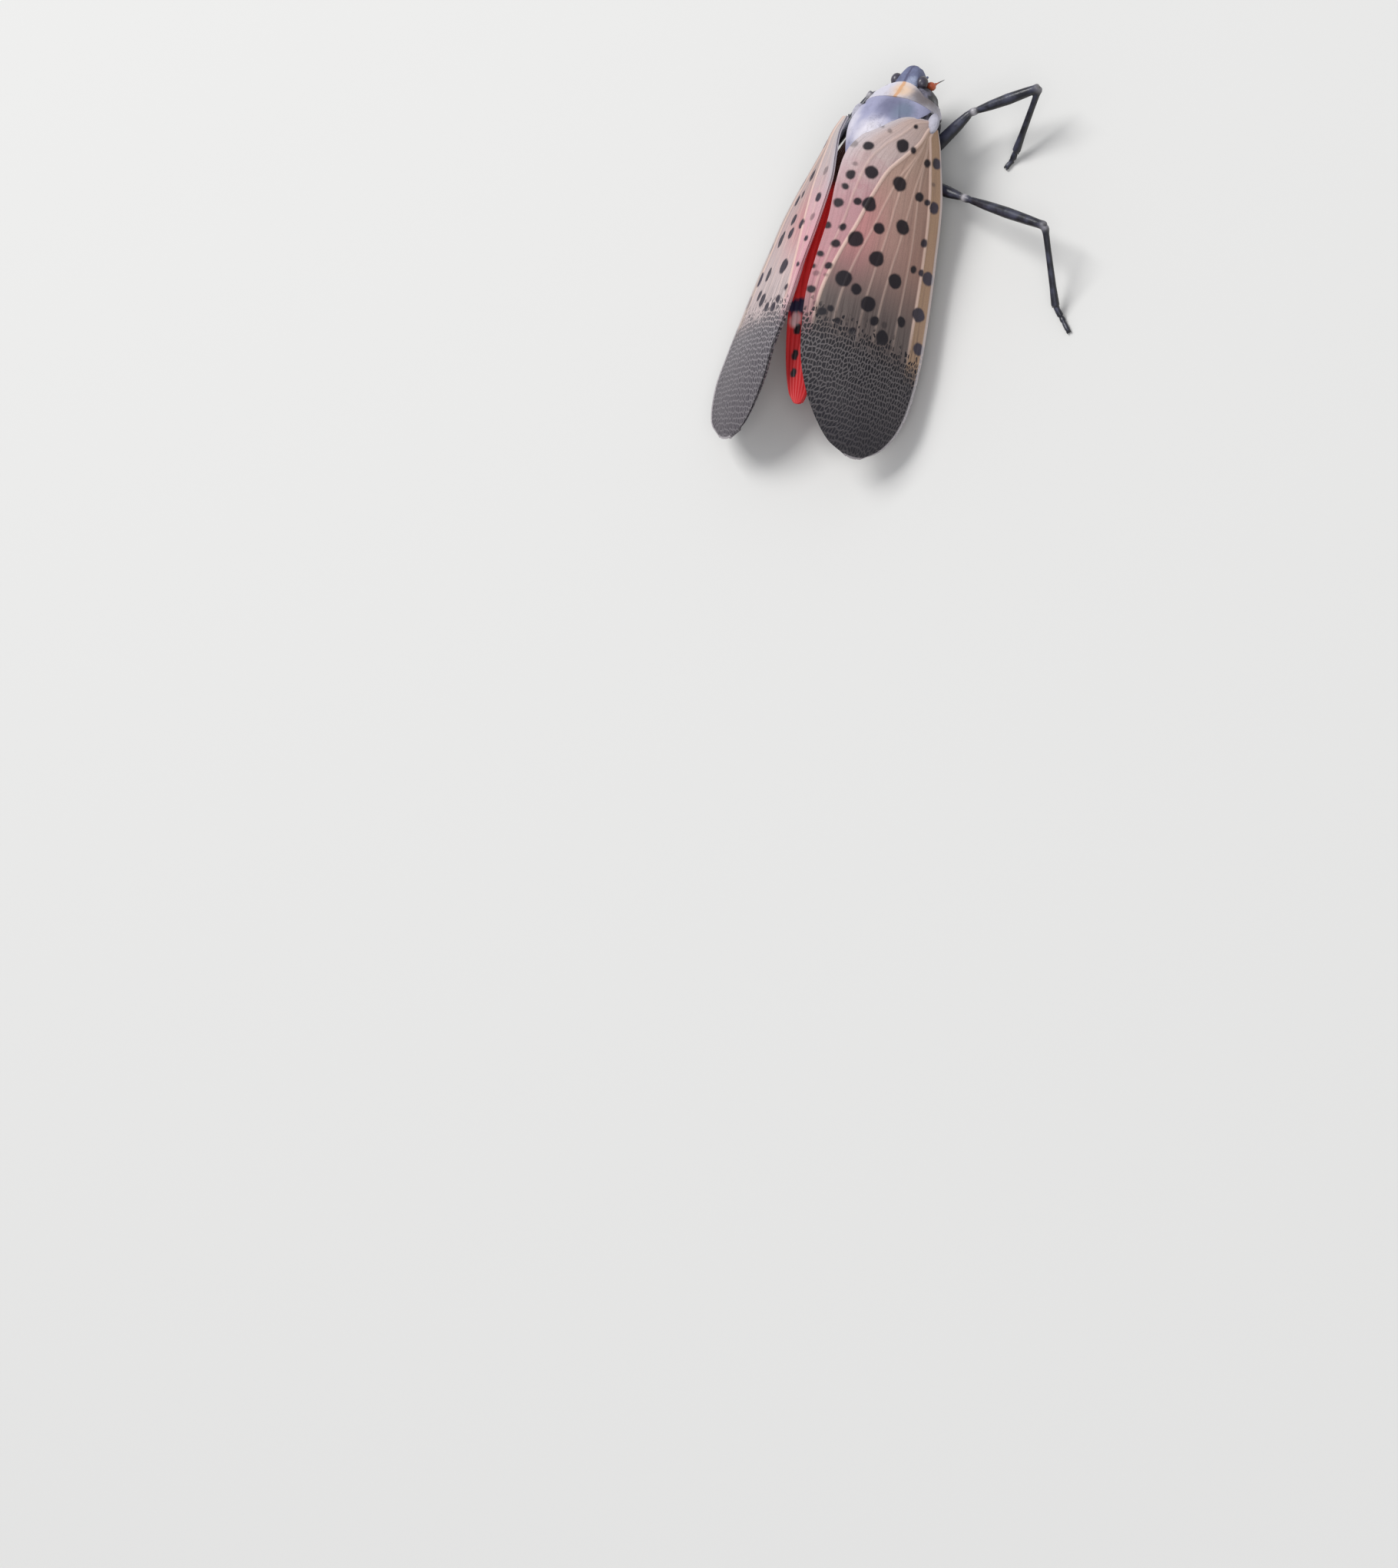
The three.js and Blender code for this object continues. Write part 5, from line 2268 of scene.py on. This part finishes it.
LEG_JOINTS = {
    (Pair.FORE, Side.RIGHT): (
        (1.3, -2.1, 1.9), (3.85, 0.65, 2.9), (8.2, 2.55, 3.6),
        (6.45, -0.6, 0.6), (6.2, -1.05, 0.2), (5.9, -1.6, 0.2),
    ),
    (Pair.FORE, Side.LEFT): (
        (-1.3, -1.0, 1.9), (-3.0, 1.1, 3.0), (-4.9, -3.0, 2.8),
        (-5.4, -0.7, 0.6), (-5.5, -0.2, 0.2), (-5.6, 0.4, 0.2),
    ),
    (Pair.MID, Side.RIGHT): (
        (1.3, -3.8, 1.9), (4.5, -4.45, 2.1), (11.05, -5.9, 3.4),
        (11.9, -9.9, 0.6), (12.3, -10.4, 0.2), (13.0, -11.2, 0.2),
    ),
    (Pair.MID, Side.LEFT): (
        (-1.3, -3.4, 1.9), (-3.9, -4.3, 2.0), (-6.0, -9.8, 1.5),
        (-7.0, -5.7, 0.55), (-7.15, -5.1, 0.2), (-7.2, -4.4, 0.2),
    ),
    (Pair.HIND, Side.RIGHT): (
        (1.1, -4.7, 1.8), (2.6, -5.9, 1.4), (3.0, -10.4, 1.5),
        (3.4, -16.5, 0.6), (3.45, -17.1, 0.2), (3.5, -18.0, 0.2),
    ),
    (Pair.HIND, Side.LEFT): (
        (-1.1, -4.7, 1.8), (-2.6, -5.9, 1.4), (-3.2, -10.4, 1.5),
        (-4.0, -16.0, 0.6), (-4.1, -16.6, 0.2), (-4.2, -17.5, 0.2),
    ),
}


# Studio


@dataclass(frozen=True)
class Lamp:
    """A soft square lamp that looks at the insect: its name, place, size and power."""

    name: str
    at: Place
    size: float
    power: float

    def hang(self) -> None:
        """Hangs the lamp."""
        bpy.ops.object.light_add(type="AREA", location=self.at)
        lamp = bpy.context.object
        lamp.name = lamp.data.name = self.name
        lamp.data.size = self.size
        lamp.data.energy = self.power
        lamp.rotation_euler = Vector(self.at).to_track_quat("Z", "Y").to_euler()


@dataclass(frozen=True)
class Studio:
    """The plain pale floor, the soft lights and the camera of the photograph's pose."""

    floor_size: float = 6.0
    paper: Colour = paint(222, 221, 218)
    paper_roughness: float = 0.9
    lamps: tuple[Lamp, ...] = (
        Lamp("key_lamp", (-0.2, 0.14, 0.44), 0.24, 1.75),
        Lamp("fill_lamp", (0.26, -0.16, 0.46), 0.3, 0.7),
    )
    sky: Colour = paint(235, 238, 245)
    sky_strength: float = 0.45
    camera_at: Place = (103.26, -67.245, 200.004)
    camera_turn: Place = (14.202, 24.946, 18.12)
    lens: float = 85.0
    film: float = 36.0
    clip_start: float = 0.01

    def floor(self) -> None:
        """Lays the floor."""
        plane = added("studio_floor", bpy.ops.mesh.primitive_plane_add, size=self.floor_size)
        made = bpy.data.materials.new("studio_paper")
        made.use_nodes = True
        shader = made.node_tree.nodes["Principled BSDF"]
        shader.inputs["Base Color"].default_value = self.paper
        shader.inputs["Roughness"].default_value = self.paper_roughness
        plane.data.materials.append(made)

    def light(self) -> None:
        """Hangs the lamps and lights the sky."""
        for lamp in self.lamps:
            lamp.hang()
        world = bpy.data.worlds.new("studio_world")
        world.use_nodes = True
        inputs = world.node_tree.nodes["Background"].inputs
        inputs["Color"].default_value = self.sky
        inputs["Strength"].default_value = self.sky_strength
        bpy.context.scene.world = world
        bpy.context.scene.view_settings.view_transform = "Standard"

    def camera(self) -> None:
        """Sets the camera."""
        data = bpy.data.cameras.new("photo_camera")
        data.lens = self.lens
        data.sensor_fit = "VERTICAL"
        data.sensor_height = self.film
        data.clip_start = self.clip_start
        camera = bpy.data.objects.new("photo_camera", data)
        camera.location = Vector(self.camera_at) * MM + SHIFT
        camera.rotation_euler = Euler([math.radians(turn) for turn in self.camera_turn], "XYZ")
        bpy.context.scene.collection.objects.link(camera)
        bpy.context.scene.camera = camera

    def build(self) -> None:
        """Builds the studio."""
        self.floor()
        self.light()
        self.camera()


def main() -> None:
    """Builds the insect from the body out, reports its pieces, and builds the studio."""
    logging.basicConfig(level=logging.INFO, format="%(name)s: %(message)s")
    forms = (Trunk(), Mesonotum(), WingHinge(), Pronotum(), Head(), Beak())
    pieces = [form.build() for form in forms]
    for side in Side:
        organs = HeadOrgans(side)
        pieces += [organs.eye(), organs.antenna(), organs.tegula()]
    wings = (
        Forewing(WingSurface(RIGHT_MARGINS, 1.25, Side.RIGHT), RIGHT_WING),
        Forewing(WingSurface(LEFT_MARGINS, 0.5, Side.LEFT), LEFT_WING),
        Hindwing(WingSurface(RIGHT_HIND_MARGINS, 0.35, Side.RIGHT), pleats=4),
        Hindwing(WingSurface(LEFT_HIND_MARGINS, 0.35, Side.LEFT), pleats=7),
    )
    legs = [Leg(pair, side, joints) for (pair, side), joints in LEG_JOINTS.items()]
    pieces += [form.build() for form in (*wings, *legs)]
    for piece in pieces:
        log.info("%s: %d faces", piece.name, len(piece.data.polygons))
    Studio().build()


if __name__ == "__main__":
    main()
